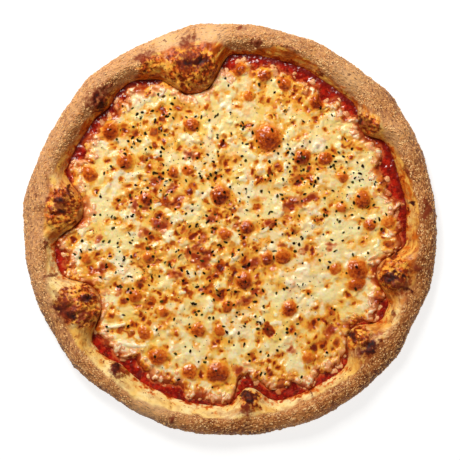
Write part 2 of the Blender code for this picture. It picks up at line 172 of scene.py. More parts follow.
# Zones of the cheese: place, reach and strength of golden baking
GOLDEN_ZONES = (
    (183, 257, 42, 0.75), (318, 338, 26, 0.6), (140, 200, 30, 0.5), (150, 300, 30, 0.4),
    (250, 283, 24, 0.5), (300, 190, 26, 0.5), (160, 130, 26, 0.35), (225, 220, 34, 0.6),
    (272, 368, 18, 0.4), (285, 100, 26, 0.45),
)

# Smooth pale pools of melted cheese: place and reach
POOLS = (
    (196, 98, 22), (232, 90, 16), (362, 185, 24), (345, 232, 26), (105, 205, 18), (300, 130, 16),
    (260, 205, 16), (325, 290, 20), (120, 245, 16), (245, 350, 18), (190, 345, 18), (180, 320, 12),
    (290, 355, 16), (280, 300, 12), (110, 295, 14), (330, 250, 14),
)

# Where sauce comes through the cheese: place, half length, half width and direction in degrees
SAUCE_STREAKS = (
    (307, 199, 13, 4, 25), (155, 182, 6, 5, 60), (175, 274, 7, 4, 0), (198, 246, 9, 3, 40),
    (187, 251, 6, 3, 90), (226, 236, 6, 6, 0), (163, 226, 8, 5, 80), (138, 204, 9, 5, 20),
    (237, 369, 5, 4, 0), (290, 205, 8, 4, 50), (100, 270, 7, 5, 30), (255, 262, 8, 4, 15),
    (283, 247, 5, 4, 0), (330, 330, 6, 4, 60), (152, 262, 7, 5, 20), (212, 220, 5, 4, 0),
    (176, 200, 6, 4, 50), (245, 300, 8, 5, 10), (145, 232, 6, 5, 70), (205, 262, 6, 5, 0),
    (268, 222, 6, 3, 20), (330, 245, 5, 4, 0), (120, 290, 6, 4, 40), (190, 155, 6, 4, 0),
    (305, 250, 5, 3, 30), (157, 224, 5, 5, 0), (147, 205, 6, 4, 30), (196, 258, 5, 4, 0),
    (243, 284, 8, 4, 0), (256, 292, 6, 4, 20), (265, 255, 5, 5, 0), (293, 205, 12, 3, 60),
    (200, 243, 10, 3, 60), (240, 225, 8, 4, 20), (172, 188, 5, 3, 0), (378, 300, 7, 4, 60),
    (290, 350, 5, 3, 0), (98, 240, 5, 3, 40),
)

# Where the herbs lie thickest: place and spread
HERB_PLACES = (
    (160, 130, 60), (300, 165, 55), (215, 210, 60), (140, 255, 50), (240, 290, 60), (360, 200, 40),
)

# The same for the small flakes
SMALL_HERB_PLACES = (
    (160, 130, 50), (245, 150, 35), (300, 165, 45), (215, 200, 45), (140, 255, 45), (205, 316, 28),
    (262, 330, 30), (350, 200, 40), (290, 250, 30), (172, 170, 36), (225, 290, 26), (120, 215, 24),
)

# Charred marks on the dough: place, half length, half width and direction in degrees
CHAR_MARKS = (
    (189, 65, 9, 5, -10), (200, 63, 7, 4, 30), (68, 190, 5, 4, 40), (61, 203, 4, 3, 20), (64, 213, 4, 3, 0),
    (85, 298, 6, 4, 0), (62, 307, 4, 6, 40), (75, 315, 5, 3, -40), (390, 276, 8, 6, 0), (404, 274, 3, 3, 0),
    (394, 257, 3, 2, 0), (406, 290, 9, 2, -25), (351, 334, 6, 4, -40), (371, 346, 9, 6, 35),
    (250, 396, 8, 5, 0), (118, 370, 9, 3, 52), (101, 105, 7, 4, 50), (96, 99, 7, 3, 50),
    (412, 202, 3, 2, 0), (402, 210, 4, 3, 0), (359, 122, 5, 3, -40), (312, 79, 6, 3, -30),
)

# Rust-brown marks on the dough, given the same way
RUST_MARKS = (
    (187, 44, 9, 10, 0), (190, 62, 16, 14, 0), (147, 58, 12, 6, 20), (98, 97, 23, 9, 48),
    (415, 267, 7, 5, 0), (245, 410, 6, 8, 0), (424, 210, 5, 12, 0), (407, 171, 8, 3, -60),
    (366, 124, 8, 5, -50), (311, 391, 13, 2, -58), (55, 275, 11, 2, 15), (395, 313, 4, 4, 0),
    (290, 50, 8, 2, -20), (63, 206, 9, 12, 0), (66, 307, 12, 16, 30), (84, 315, 15, 8, -30),
    (46, 244, 5, 4, 0), (118, 372, 8, 10, 50), (366, 346, 14, 8, 35), (398, 284, 14, 12, 0),
    (322, 73, 5, 3, -30), (330, 420, 8, 2, 30), (256, 42, 7, 5, 0), (240, 28, 7, 3, 0),
    (172, 417, 5, 2, 72),
)

# Where the dough's tan skin ends and its golden inner slope starts: direction in degrees, distance in pixels
TAN_EDGE = (
    (0, 191), (15, 190), (25, 186), (30, 184), (37, 187), (46, 183), (54, 182), (59, 184), (65, 190),
    (75, 192), (87, 180), (92, 188), (104, 194), (114, 192), (121, 182), (130, 184), (143, 183), (152, 183),
    (156, 188), (188, 188), (198, 194), (219, 193), (242, 195), (261, 191), (288, 189), (307, 191),
    (333, 192), (355, 191),
)

# How brown the rim's inner slope is, from its uneven bake and from painted shade, which makes it darkest on
# the top side that faces away from the lamp: direction in degrees from the right, tone from 0 to 1
SLOPE_SHADE_AND_BAKE = (
    (2, 0.45), (9, 0.5), (15, 0.75), (22, 0.55), (30, 0.4), (38, 0.5), (50, 0.75), (70, 0.75), (88, 0.95),
    (104, 0.8), (125, 0.95), (145, 0.85), (157, 0.5), (170, 0.6), (185, 0.35), (198, 0.25), (206, 0.6),
    (214, 0.4), (225, 0.1), (265, 0.05), (277, 0.4), (288, 0.08), (308, 0.1), (318, 0.7), (330, 0.35),
    (343, 0.7), (354, 0.65),
)

# Thick white strands of cheese near the edge: middle, half length, half width, heading and bend
STRANDS = (
    (92, 272, 16, 3.5, -25, 8), (80, 251, 7, 2.5, 60, 0), (132, 345, 13, 3, -8, 8),
    (116, 326, 9, 2.5, 10, 10),
)

# Lighter parts of the dough: place and reach
PALE_PARTS = (
    (168, 42, 18), (210, 36, 14), (388, 142, 16), (63, 285, 18), (345, 85, 20), (150, 405, 24),
)


def place(x, y):
    """A place in the photo as metres from the pizza's middle."""
    return (x - PHOTO_CENTRE[0]) * PIXEL, (PHOTO_CENTRE[1] - y) * PIXEL


def angle_between(a, b):
    """The signed difference of two directions."""
    return (a - b + math.pi) % (2 * math.pi) - math.pi


def noise(x, y, seed, wrap=64):
    """Smooth random values from -1 to 1, one to a unit square, which repeat every wrap squares along x."""
    table = np.random.default_rng(seed).uniform(-1, 1, (wrap, NOISE_ROWS))
    left = np.floor(x).astype(int)
    low = np.floor(y).astype(int)
    u = (x - left) ** 2 * (3 - 2 * (x - left))
    v = (y - low) ** 2 * (3 - 2 * (y - low))
    here, right = left % wrap, (left + 1) % wrap
    near = table[here, low % NOISE_ROWS] * (1 - u) + table[right, low % NOISE_ROWS] * u
    far = table[here, (low + 1) % NOISE_ROWS] * (1 - u) + table[right, (low + 1) % NOISE_ROWS] * u
    return near * (1 - v) + far * v


def noise_around(direction, count, seed):
    """Smooth random values round the pizza, count to a full turn."""
    return noise(direction / (2 * math.pi) * count, np.zeros_like(direction), seed, wrap=count)


def layered(x, y, seed, layers, wrap=64):
    """Random values in several layers, each twice as fine and half as strong as the one before."""
    return sum(noise(x * 2 ** i, y * 2 ** i, seed + i, wrap * 2 ** i) / 2 ** i for i in range(layers))


def smoothed(values, reach):
    """Values round a ring, each averaged with its neighbours."""
    weights = {step: reach + 1 - abs(step) for step in range(-reach, reach + 1)}
    return sum(np.roll(values, step) * weight for step, weight in weights.items()) / sum(weights.values())


SAMPLE_DIRECTIONS = np.arange(OUTLINE_SAMPLES) * (2 * math.pi / OUTLINE_SAMPLES)


def sampled(values, direction):
    """A ring of values read at any direction."""
    return np.interp(direction % (2 * math.pi), SAMPLE_DIRECTIONS, values, period=2 * math.pi)


def outline_ring():
    """The dough's outer radius: straight between its corners, then softened."""
    points = np.array([place(x, y) for x, y in RIM_CORNERS])
    angles = np.arctan2(points[:, 1], points[:, 0]) % (2 * math.pi)
    points = points[np.argsort(angles)]
    angles = np.sort(angles)
    after = np.searchsorted(angles, SAMPLE_DIRECTIONS, side="right") % len(angles)
    (x0, y0), (x1, y1) = points[after - 1].T, points[after].T
    across = (y1 - y0) * np.cos(SAMPLE_DIRECTIONS) - (x1 - x0) * np.sin(SAMPLE_DIRECTIONS)
    return smoothed((x0 * y1 - x1 * y0) / across, SMOOTHING)


def bubble_frames():
    """Each bubble's direction, distance, half length, half width and rise, in metres and radians."""
    for x, y, half_length, half_width, rise in BUBBLES:
        u, v = place(x, y)
        yield math.atan2(v, u), math.hypot(u, v), half_length * PIXEL, half_width * PIXEL, rise * MM


def foot_ring(outline):
    """Where the rim's inner slope meets the floor of the dough, pushed inwards by the bubbles."""
    foot = outline - RIM_WIDTH + noise_around(SAMPLE_DIRECTIONS, SWAYS_AROUND, SWAY_SEED) * FOOT_SWAY
    for direction, distance, half_length, half_width, _ in bubble_frames():
        along = angle_between(SAMPLE_DIRECTIONS, direction) * distance / half_length
        bulge = distance - half_width * np.clip(1 - along ** 2, 0, 1) ** BUBBLE_EDGE
        foot = np.where(np.abs(along) < 1, np.minimum(foot, bulge), foot)
    return smoothed(foot, SMOOTHING)


def cheese_ring(sauce):
    """The cheese's lobed outline, inside the sauce's."""
    directions = np.radians([row[0] for row in SAUCE_RING])
    widths = np.array([row[1] for row in SAUCE_RING]) * MM
    width = np.interp(SAMPLE_DIRECTIONS, directions, widths, period=2 * math.pi)
    lobes = noise_around(SAMPLE_DIRECTIONS, LOBES_AROUND, LOBE_SEED) * CHEESE_LOBE
    return sauce - np.maximum(smoothed(width, SMOOTHING) + lobes, CHEESE_CLEARANCE)


def melt_ring():
    """The ragged edge of the melt, which runs out to the rim where little sauce shows between them."""
    width = SAUCE_EDGE - CHEESE_OUTLINE
    closed = np.clip((CLOSED_WIDTH - width) / CLOSING, 0, 1)
    for direction, distance, half_length, half_width, _ in bubble_frames():
        if half_width > TOUCHED_BUBBLE:
            along = angle_between(SAMPLE_DIRECTIONS, direction) * distance / half_length
            closed = np.maximum(closed, np.clip(4.4 - 4 * np.abs(along), 0, 1))
    ragged = noise_around(SAMPLE_DIRECTIONS, RAGS_AROUND, RAG_SEED) * RAG
    ragged += noise_around(SAMPLE_DIRECTIONS, RAGS_AROUND * 3, RAG_SEED + 1) * RAG / 3
    melt = CHEESE_OUTLINE + RAG_OUT + ragged + closed * (FOOT + RUN_UP - CHEESE_OUTLINE)
    return np.clip(melt, CHEESE_OUTLINE - RAG_IN, FOOT + RUN_UP)


OUTLINE = outline_ring()
FOOT = foot_ring(OUTLINE)
SAUCE_EDGE = FOOT - SAUCE_CLEARANCE
CHEESE_OUTLINE = cheese_ring(SAUCE_EDGE)
MELT_OUTLINE = melt_ring()
SAUCE_BOTTOM = DOUGH_FLOOR + GAP
SAUCE_TOP = SAUCE_BOTTOM + SAUCE_THICKNESS
CHEESE_BOTTOM = SAUCE_TOP + GAP


def bubble_rise(x, y):
    """How far the rim's bubbles lift its surface."""
    rise = np.zeros_like(x)
    for direction, distance, half_length, half_width, height in bubble_frames():
        outward = x * math.cos(direction) + y * math.sin(direction) - distance
        along = y * math.cos(direction) - x * math.sin(direction)
        off = (outward / half_width) ** 2 + (along / half_length) ** 2
        rise += height * np.clip(1 - off, 0, 1) ** BUBBLE_DOME
    return rise


def rim_section(direction):
    """The rim's outer, crown and foot radius, its crown's height and how plump its inner side is."""
    outer = sampled(OUTLINE, direction)
    foot = sampled(FOOT, direction)
    crown = outer - (outer - foot) * CROWN_SHARE
    height = RIM_HEIGHT + noise_around(direction, SWELLS_AROUND, SWELL_SEED) * RIM_SWELL
    bubble = np.clip((outer - foot) / RIM_WIDTH - 1, 0, 1) * BUBBLE_PLUMPNESS
    return outer, crown, foot, height, np.minimum(PLUMPNESS + bubble, 1)


def rim_lumps(direction, across):
    """Small rises and dips of the rim's skin, from the direction and the distance along its section."""
    around = direction / (2 * math.pi) * LUMPS_AROUND
    return noise(around, across / LUMP_SIZE, LUMP_SEED, wrap=LUMPS_AROUND) * RIM_LUMP


def inner_side(direction, share):
    """The rim's inner side, share going from 0 at its crown to 1 at its foot."""
    outer, crown, foot, height, plump = rim_section(direction)
    slope = 0.5 + 0.5 * np.cos(math.pi * share)
    dome = np.sqrt(np.clip(1 - share ** 2, 0, 1))
    radius = crown + (foot - crown) * share
    z = DOUGH_FLOOR + (height - DOUGH_FLOOR) * (slope * (1 - plump) + dome * plump)
    x, y = radius * np.cos(direction), radius * np.sin(direction)
    lift = bubble_rise(x, y) + rim_lumps(direction, outer - radius)
    return x, y, z + lift * math.sqrt(1 - share)


def outer_side(direction, turn):
    """The rim's outer side, turn falling from a quarter circle at its crown to 0 where it is widest."""
    outer, crown, _, height, _ = rim_section(direction)
    widest = height * WIDEST_SHARE
    reach = outer - crown if turn > 0 else UNDERCUT
    rise = height - widest if turn > 0 else widest
    radius = outer - reach * (1 - math.cos(turn))
    z = widest + rise * math.sin(turn)
    x, y = radius * np.cos(direction), radius * np.sin(direction)
    lift = bubble_rise(x, y) + rim_lumps(direction, outer - radius)
    return x, y, z + lift * max(math.sin(turn), 0)


def dome_of(x, y, px, py, half_width, power):
    """A round dome over a place in the photo, from 1 in its middle to 0 at its edge."""
    u, v = place(px, py)
    return np.clip(1 - ((x - u) ** 2 + (y - v) ** 2) / (half_width * PIXEL) ** 2, 0, 1) ** power


def blister_rise(x, y, rows):
    """How far browned blisters lift the cheese."""
    rise = np.zeros_like(x)
    for px, py, half_width, _ in rows:
        dome = dome_of(x, y, px, py, half_width, BLISTER_DOME)
        rise = np.maximum(rise, half_width * PIXEL * BLISTER_RISE * dome)
    return rise


def cheese_inset(x, y):
    """How far a place lies inside the melt's edge: 0 there, 1 where the sheet is at its full height."""
    inset = (sampled(MELT_OUTLINE, np.arctan2(y, x)) - np.hypot(x, y)) / CHEESE_EDGE
    return np.clip(inset, 0, 1)


def cheese_top(x, y):
    """The height of the cheese: rounded at its edge, wavy, with blisters."""
    inset = cheese_inset(x, y)
    rounding = np.sin(inset * math.pi / 2) ** 0.8
    waves = noise(x / WAVE_SIZE, y / WAVE_SIZE, WAVE_SEED) * CHEESE_WAVE
    thickness = CHEESE_STEP + (CHEESE_THICKNESS - CHEESE_STEP + waves) * rounding
    return CHEESE_BOTTOM + thickness + blister_rise(x, y, BLISTERS) * inset


# Fineness and relief of the surfaces, and what is scattered on them
CHEESE_SIDE = 300
CRUST_DIRECTIONS = 1200
OUTER_RINGS = 30
INNER_RINGS = 36
UNDER_RINGS = 5
SAUCE_RINGS = 22
SHRED_COUNT = 1100
SHRED_SEED = 7
STRAND_HEIGHT = 1.5 * MM
LUMP_ROW_COUNT = 640
LUMP_HALF_WIDTH = (0.8 * MM, 2.2 * MM)
RED_BAND = 9 * MM
LUMP_ROW_SEED = 29
ZONED_SHARE = 0.4
PIT_COUNT = 480
PIT_SEED = 19
SMALL_BLISTER_COUNT = 240
SMALL_BLISTER_SEED = 23
CURD_COUNT = 110
CURD_SCATTER = 1.5 * MM
CURD_SIZE = (0.8 * MM, 2.6 * MM)
CURD_HEIGHT = 0.4
CURD_SIDES = 12
CURD_ROWS = 6
CURD_SEED = 31
# How high the painted shade on the rim's lower outer side reaches
SHADE_SKIRT_TOP = 17 * MM
SLOPE_START = 5 * MM
# The side of the rim that painted light makes paler, towards the lamp
PAINTED_LIGHT_SIDE = math.radians(128)
WRINKLE_LENGTH = 2.8 * MM
WRINKLE_WIDTH = 1.1 * MM
GRAIN_COUNT = 7500
GRAIN_SIZE = (0.28 * MM, 0.70 * MM)
GRAIN_STRETCH = (1.0, 2.2)
GRAIN_SEED = 37


def marks_at(x, y, rows):
    """How strongly long marks cover each place: 1 in their middles, 0 past their edges."""
    cover = np.zeros_like(x)
    for px, py, half_length, half_width, degrees in rows:
        u, v = place(px, py)
        turn = math.radians(degrees)
        along = ((x - u) * math.cos(turn) + (y - v) * math.sin(turn)) / (half_length * PIXEL)
        aside = ((y - v) * math.cos(turn) - (x - u) * math.sin(turn)) / (half_width * PIXEL)
        cover = np.maximum(cover, np.clip(1.35 - np.hypot(along, aside), 0, 1))
    return cover


def warped(x, y, seed, size, reach):
    """Places pushed about at random, so that what is drawn at them gets an uneven outline."""
    sideways = layered(x / size, y / size, seed, 2) * reach
    upwards = layered(x / size, y / size, seed + 5, 2) * reach
    return x + sideways, y + upwards


def zones_at(x, y, rows):
    """How strongly soft round zones cover each place, each with its strength as the last value."""
    cover = np.zeros_like(x)
    for px, py, reach, strength in rows:
        u, v = place(px, py)
        cover = np.maximum(cover, strength * np.exp(-((x - u) ** 2 + (y - v) ** 2) / (reach * PIXEL) ** 2))
    return cover


def spots_at(x, y, rows, halo, edge):
    """How dark round spots bake each place, with an edge of some softness and a halo past it; each spot is
    darker on its side away from the lamp and lighter on the side towards it, which is painted shade and
    light.
    """
    cover = np.zeros_like(x)
    for px, py, half_width, strength in rows:
        u, v = place(px, py)
        off = np.hypot(x - u, y - v) / (half_width * PIXEL)
        # Darker on the side away from the lamp, lighter towards it: painted shade and light
        lower = np.clip(1 - 0.3 * (y - v) / (half_width * PIXEL), 0.7, 1.3)
        middle = 0.62 + 0.38 * np.clip(1 - off ** 2, 0, 1)
        inside = strength * lower * middle * np.clip((1.08 - off) / edge, 0, 1)
        around = 0.42 * strength * np.clip((1 + halo - off) / halo, 0, 1)
        cover = np.maximum(cover, np.maximum(inside, around))
    return cover


def random_rows(count, seed, sizes, darkness):
    """Seeded places over the cheese, in the photo's pixels, with a half width and a darkness each."""
    draw = random.Random(seed)
    rows = []
    for _ in range(count):
        radius = 0.98 * math.sqrt(draw.random()) * DIAMETER / 2 * FLAKE_SPREAD / PIXEL
        turn = draw.uniform(0, 2 * math.pi)
        x = PHOTO_CENTRE[0] + radius * math.cos(turn)
        y = PHOTO_CENTRE[1] + radius * math.sin(turn)
        if draw.random() < ZONED_SHARE:
            zone_x, zone_y, reach, _ = draw.choice(GOLDEN_ZONES)
            x, y = draw.gauss(zone_x, reach * 0.6), draw.gauss(zone_y, reach * 0.6)
        rows.append((x, y, draw.uniform(*sizes), draw.uniform(*darkness)))
    return rows


def shred_rows():
    """Melted shreds: place, half length, half width, heading, bend, height and paleness."""
    draw = random.Random(SHRED_SEED)
    for _ in range(SHRED_COUNT):
        radius = math.sqrt(draw.random()) * DIAMETER / 2 * FLAKE_SPREAD
        turn = draw.uniform(0, 2 * math.pi)
        yield (radius * math.cos(turn), radius * math.sin(turn), draw.uniform(0.0, 3.2) * MM,
               draw.uniform(1.5, 3.2) * MM, draw.uniform(0, math.pi), draw.uniform(-90, 90),
               draw.uniform(0.4, 1.4) * MM, draw.uniform(0.0, 1.0))


def strand_rows():
    """The thick white strands, given as the shreds are."""
    for x, y, half_length, half_width, heading, bend in STRANDS:
        yield (*place(x, y), half_length * PIXEL, half_width * PIXEL, math.radians(heading), bend,
               STRAND_HEIGHT, 1.0)


def lump_rows():
    """Round pale lumps along the melt's edge, given as the shreds are."""
    draw = random.Random(LUMP_ROW_SEED)
    for _ in range(LUMP_ROW_COUNT):
        turn = draw.uniform(0, 2 * math.pi)
        radius = float(sampled(MELT_OUTLINE, turn)) - draw.uniform(0.5, 9) * MM
        yield (radius * math.cos(turn), radius * math.sin(turn), draw.uniform(0.0, 1.6) * MM,
               draw.uniform(*LUMP_HALF_WIDTH), draw.uniform(0, math.pi), 0.0,
               draw.uniform(0.8, 1.9) * MM, draw.uniform(0.2, 1.0))


def shred_relief(x, y, rows):
    """How high shreds and lumps stand at each place, and how pale the highest one is."""
    relief = np.zeros_like(x)
    paleness = np.zeros_like(x)
    for u, v, half_length, half_width, heading, bend, height, pale in rows:
        reach = half_length + half_width + 0.5 * MM
        near = np.nonzero((np.abs(x - u) < reach) & (np.abs(y - v) < reach))[0]
        along = (x[near] - u) * math.cos(heading) + (y[near] - v) * math.sin(heading)
        aside = (y[near] - v) * math.cos(heading) - (x[near] - u) * math.sin(heading) - bend * along ** 2
        off = np.hypot(np.maximum(np.abs(along) - half_length, 0), aside) / half_width
        rise = height * np.clip(1 - off ** 2, 0, 1)
        higher = rise > relief[near]
        relief[near] = np.where(higher, rise, relief[near])
        paleness[near] = np.where(higher, pale * np.clip(1.4 - 1.4 * off, 0, 1), paleness[near])
    return relief, paleness


def grid_faces(rows, columns, closed):
    """Faces of rows of points; closed joins each row's last point to its first."""
    row = np.arange(rows - 1)[:, None] * columns
    here = np.arange(columns if closed else columns - 1)[None, :]
    after = (here + 1) % columns
    corners = (row + here, row + after, row + columns + after, row + columns + here)
    return np.stack(corners, axis=-1).reshape(-1, 4)


def add_piece(name, points, faces, look, masks=None):
    """A mesh piece that rides with the pizza, with its masks as attributes."""
    mesh = bpy.data.meshes.new(name)
    mesh.from_pydata(points.tolist(), [], faces)
    for mask, values in (masks or {}).items():
        kind, field = ("FLOAT_VECTOR", "vector") if values.ndim == 2 else ("FLOAT", "value")
        mesh.attributes.new(mask, kind, "POINT").data.foreach_set(field, values.astype(np.float32).ravel())
    mesh.materials.append(look)
    mesh.shade_smooth()
    mesh.update()
    piece = bpy.data.objects.new(name, mesh)
    bpy.context.scene.collection.objects.link(piece)
    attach(piece, "root")
    return piece


def srgb(red, green, blue):
    """A colour given as seen on a screen, from 0 to 255, in the shader's own values."""
    shares = (value / 255 for value in (red, green, blue))
    return tuple(c / 12.92 if c <= 10 / 255 else ((c + 0.055) / 1.055) ** 2.4 for c in shares)


class Look:
    """A material's node tree, with short ways to add its nodes."""

    def __init__(self, name, roughness, specular=0.5):
        self.material = bpy.data.materials.new(name)
        self.material.use_nodes = True
        self.nodes = self.material.node_tree.nodes
        self.links = self.material.node_tree.links
        self.shader = self.nodes["Principled BSDF"]
        self.shader.inputs["Roughness"].default_value = roughness
        self.shader.inputs["Specular IOR Level"].default_value = specular
        self.place = self.nodes.new("ShaderNodeTexCoord").outputs["Object"]

    def set(self, socket, value):
        """Gives a socket of the shader a value or a link."""
        if isinstance(value, bpy.types.NodeSocket):
            self.links.new(value, self.shader.inputs[socket])
        else:
            self.shader.inputs[socket].default_value = value

    def feed(self, node, socket, value):
        """Gives a node's socket a value or a link."""
        if isinstance(value, bpy.types.NodeSocket):
            self.links.new(value, node.inputs[socket])
        else:
            node.inputs[socket].default_value = value

    def mask(self, name):
        """A mask that the mesh holds."""
        node = self.nodes.new("ShaderNodeAttribute")
        node.attribute_name = name
        return node.outputs["Fac"]

    def places(self, name):
        """Places that the mesh holds, to draw a grain at."""
        node = self.nodes.new("ShaderNodeAttribute")
        node.attribute_name = name
        return node.outputs["Vector"]

    def grain(self, size, detail=3, roughness=0.55, at=None):
        """Cloudy values from 0 to 1, with patches of about the size given in metres."""
        node = self.nodes.new("ShaderNodeTexNoise")
        self.links.new(at or self.place, node.inputs["Vector"])
        node.inputs["Scale"].default_value = 1 / size
        node.inputs["Detail"].default_value = detail
        node.inputs["Roughness"].default_value = roughness
        return node.outputs["Fac"]

    def cells(self, size):
        """Distance to the nearest of many points about that far apart."""
        node = self.nodes.new("ShaderNodeTexVoronoi")
        self.links.new(self.place, node.inputs["Vector"])
        node.inputs["Scale"].default_value = 1 / size
        return node.outputs["Distance"]

    def math(self, operation, a, b=0.0):
        """A sum, product or other result of two values."""
        node = self.nodes.new("ShaderNodeMath")
        node.operation = operation
        self.feed(node, 0, a)
        self.feed(node, 1, b)
        return node.outputs[0]

    def plus(self, a, b):
        """The sum of two values."""
        return self.math("ADD", a, b)

    def minus(self, a, b):
        """The difference of two values."""
        return self.math("SUBTRACT", a, b)

    def times(self, a, b):
        """The product of two values."""
        return self.math("MULTIPLY", a, b)

    def between(self, value, low, high):
        """0 where a value is at low or less, 1 where it is at high or more, and smooth between them."""
        node = self.nodes.new("ShaderNodeMapRange")
        node.interpolation_type = "SMOOTHSTEP"
        self.feed(node, "Value", value)
        node.inputs["From Min"].default_value = low
        node.inputs["From Max"].default_value = high
        return node.outputs["Result"]

    def blend(self, share, first, second):
        """The first colour where share is 0, the second where it is 1."""
        node = self.nodes.new("ShaderNodeMix")
        node.data_type = "RGBA"
        self.feed(node, "Factor", share)
        for socket, colour in (("A", first), ("B", second)):
            entry = next(s for s in node.inputs if s.name == socket and s.type == "RGBA")
            if isinstance(colour, bpy.types.NodeSocket):
                self.links.new(colour, entry)
            else:
                entry.default_value = (*colour, 1)
        return next(s for s in node.outputs if s.type == "RGBA")

    def bump(self, height, distance, strength=1.0, under=None):
        """A surface that height raises by up to the distance, on top of another bump if there is one."""
        node = self.nodes.new("ShaderNodeBump")
        self.links.new(height, node.inputs["Height"])
        node.inputs["Distance"].default_value = distance
        node.inputs["Strength"].default_value = strength
        if under is not None:
            self.links.new(under, node.inputs["Normal"])
        return node.outputs["Normal"]


def cheese_look():
    """Melted cheese: cream to golden, browned blisters, sauce coming through, oily."""
    look = Look("melted cheese", 0.2, 0.32)
    clouds = look.grain(14 * MM, 2, 0.5)
    patches = look.grain(6 * MM, 2, 0.5)
    fine = look.grain(2.2 * MM, 2, 0.5)
    broad = look.grain(26 * MM, 2)
    tint = look.grain(19 * MM, 2)
    mottle = look.plus(look.times(clouds, 1.25), look.times(patches, 0.8))
    mottle = look.minus(mottle, 0.61)
    # Hollows between the shreds lean golden: partly oil gathered there, partly painted warm shade
    valley = look.times(look.mask("valley"), 0.07)
    gold = look.plus(look.plus(mottle, valley), look.times(look.mask("golden"), 0.11))
    colour = look.blend(look.between(broad, 0.46, 0.58), srgb(254, 226, 160), srgb(250, 208, 112))
    colour = look.blend(look.between(tint, 0.46, 0.58), colour, srgb(255, 234, 194))
    pool = look.plus(look.mask("pool"), look.times(look.minus(patches, 0.5), 1.2))
    colour = look.blend(look.times(look.between(pool, 0.25, 0.75), 0.9), colour, srgb(252, 232, 172))
    blush = look.times(look.between(look.grain(10 * MM, 3), 0.56, 0.68), 0.6)
    blush = look.times(blush, look.minus(1.0, look.mask("pool")))
    colour = look.blend(blush, colour, srgb(228, 146, 92))
    # The hollows tinted deeper golden: partly oil, partly painted warm shade
    colour = look.blend(look.times(look.mask("valley"), 0.4), colour, srgb(248, 204, 100))
    colour = look.blend(look.between(gold, 0.51, 0.62), colour, srgb(246, 184, 78))
    colour = look.blend(look.between(gold, 0.60, 0.69), colour, srgb(206, 98, 16))
    colour = look.blend(look.between(gold, 0.67, 0.77), colour, srgb(146, 40, 4))
    colour = look.blend(look.between(gold, 0.76, 0.88), colour, srgb(92, 16, 2))
    colour = look.blend(look.times(look.between(look.mask("white"), 0.45, 0.80), 0.85), colour,
                        srgb(255, 236, 196))
    lump = look.blend(look.between(look.mask("pale"), 0.40, 0.85), srgb(230, 152, 100), srgb(255, 230, 194))
    colour = look.blend(look.times(look.between(look.mask("pale"), 0.04, 0.3), 0.9), colour, lump)
    toast = look.plus(look.mask("toast"), look.times(look.minus(patches, 0.5), 0.6))
    colour = look.blend(look.between(toast, 0.08, 0.32), colour, srgb(244, 178, 66))
    colour = look.blend(look.between(toast, 0.28, 0.46), colour, srgb(200, 90, 12))
    colour = look.blend(look.between(toast, 0.46, 0.64), colour, srgb(130, 34, 2))
    colour = look.blend(look.between(toast, 0.68, 0.92), colour, srgb(92, 20, 4))
    stain = look.plus(look.mask("stain"), look.minus(patches, 0.5))
    colour = look.blend(look.times(look.between(stain, 0.05, 0.4), 0.8), colour, srgb(216, 116, 50))
    colour = look.blend(look.times(look.between(stain, 0.35, 0.95), 0.85), colour, srgb(150, 28, 4))
    domed = look.mask("domed")
    spotted = look.plus(domed, look.times(look.minus(fine, 0.5), 1.0))
    dome = look.blend(look.between(spotted, 0.30, 0.60), srgb(236, 150, 54), srgb(208, 100, 24))
    dome = look.blend(look.between(spotted, 0.62, 0.88), dome, srgb(158, 56, 10))
    dome = look.blend(look.between(spotted, 0.88, 1.10), dome, srgb(96, 24, 6))
    halo = look.times(look.between(domed, 0.02, 0.28), look.between(patches, 0.36, 0.58))
    colour = look.blend(look.times(halo, 0.8), colour, srgb(240, 168, 44))
    colour = look.blend(look.between(domed, 0.24, 0.40), colour, dome)
    look.set("Base Color", colour)
    glossy = look.plus(0.14, look.times(fine, 0.16))
    glossy = look.plus(glossy, look.times(look.between(toast, 0.5, 0.9), 0.15))
    look.set("Roughness", look.minus(glossy, look.times(look.between(domed, 0.2, 0.5), 0.08)))
    look.set("Subsurface Weight", 0.5)
    look.set("Subsurface Radius", (1.0, 0.55, 0.25))
    look.set("Subsurface Scale", 2.0 * MM)
    skin = look.bump(look.times(look.grain(1.8 * MM, 1), domed), 0.7 * MM, 1.0)
    look.set("Normal", look.bump(look.grain(3.4 * MM, 1), 0.9 * MM, 0.9, skin))
    return look.material


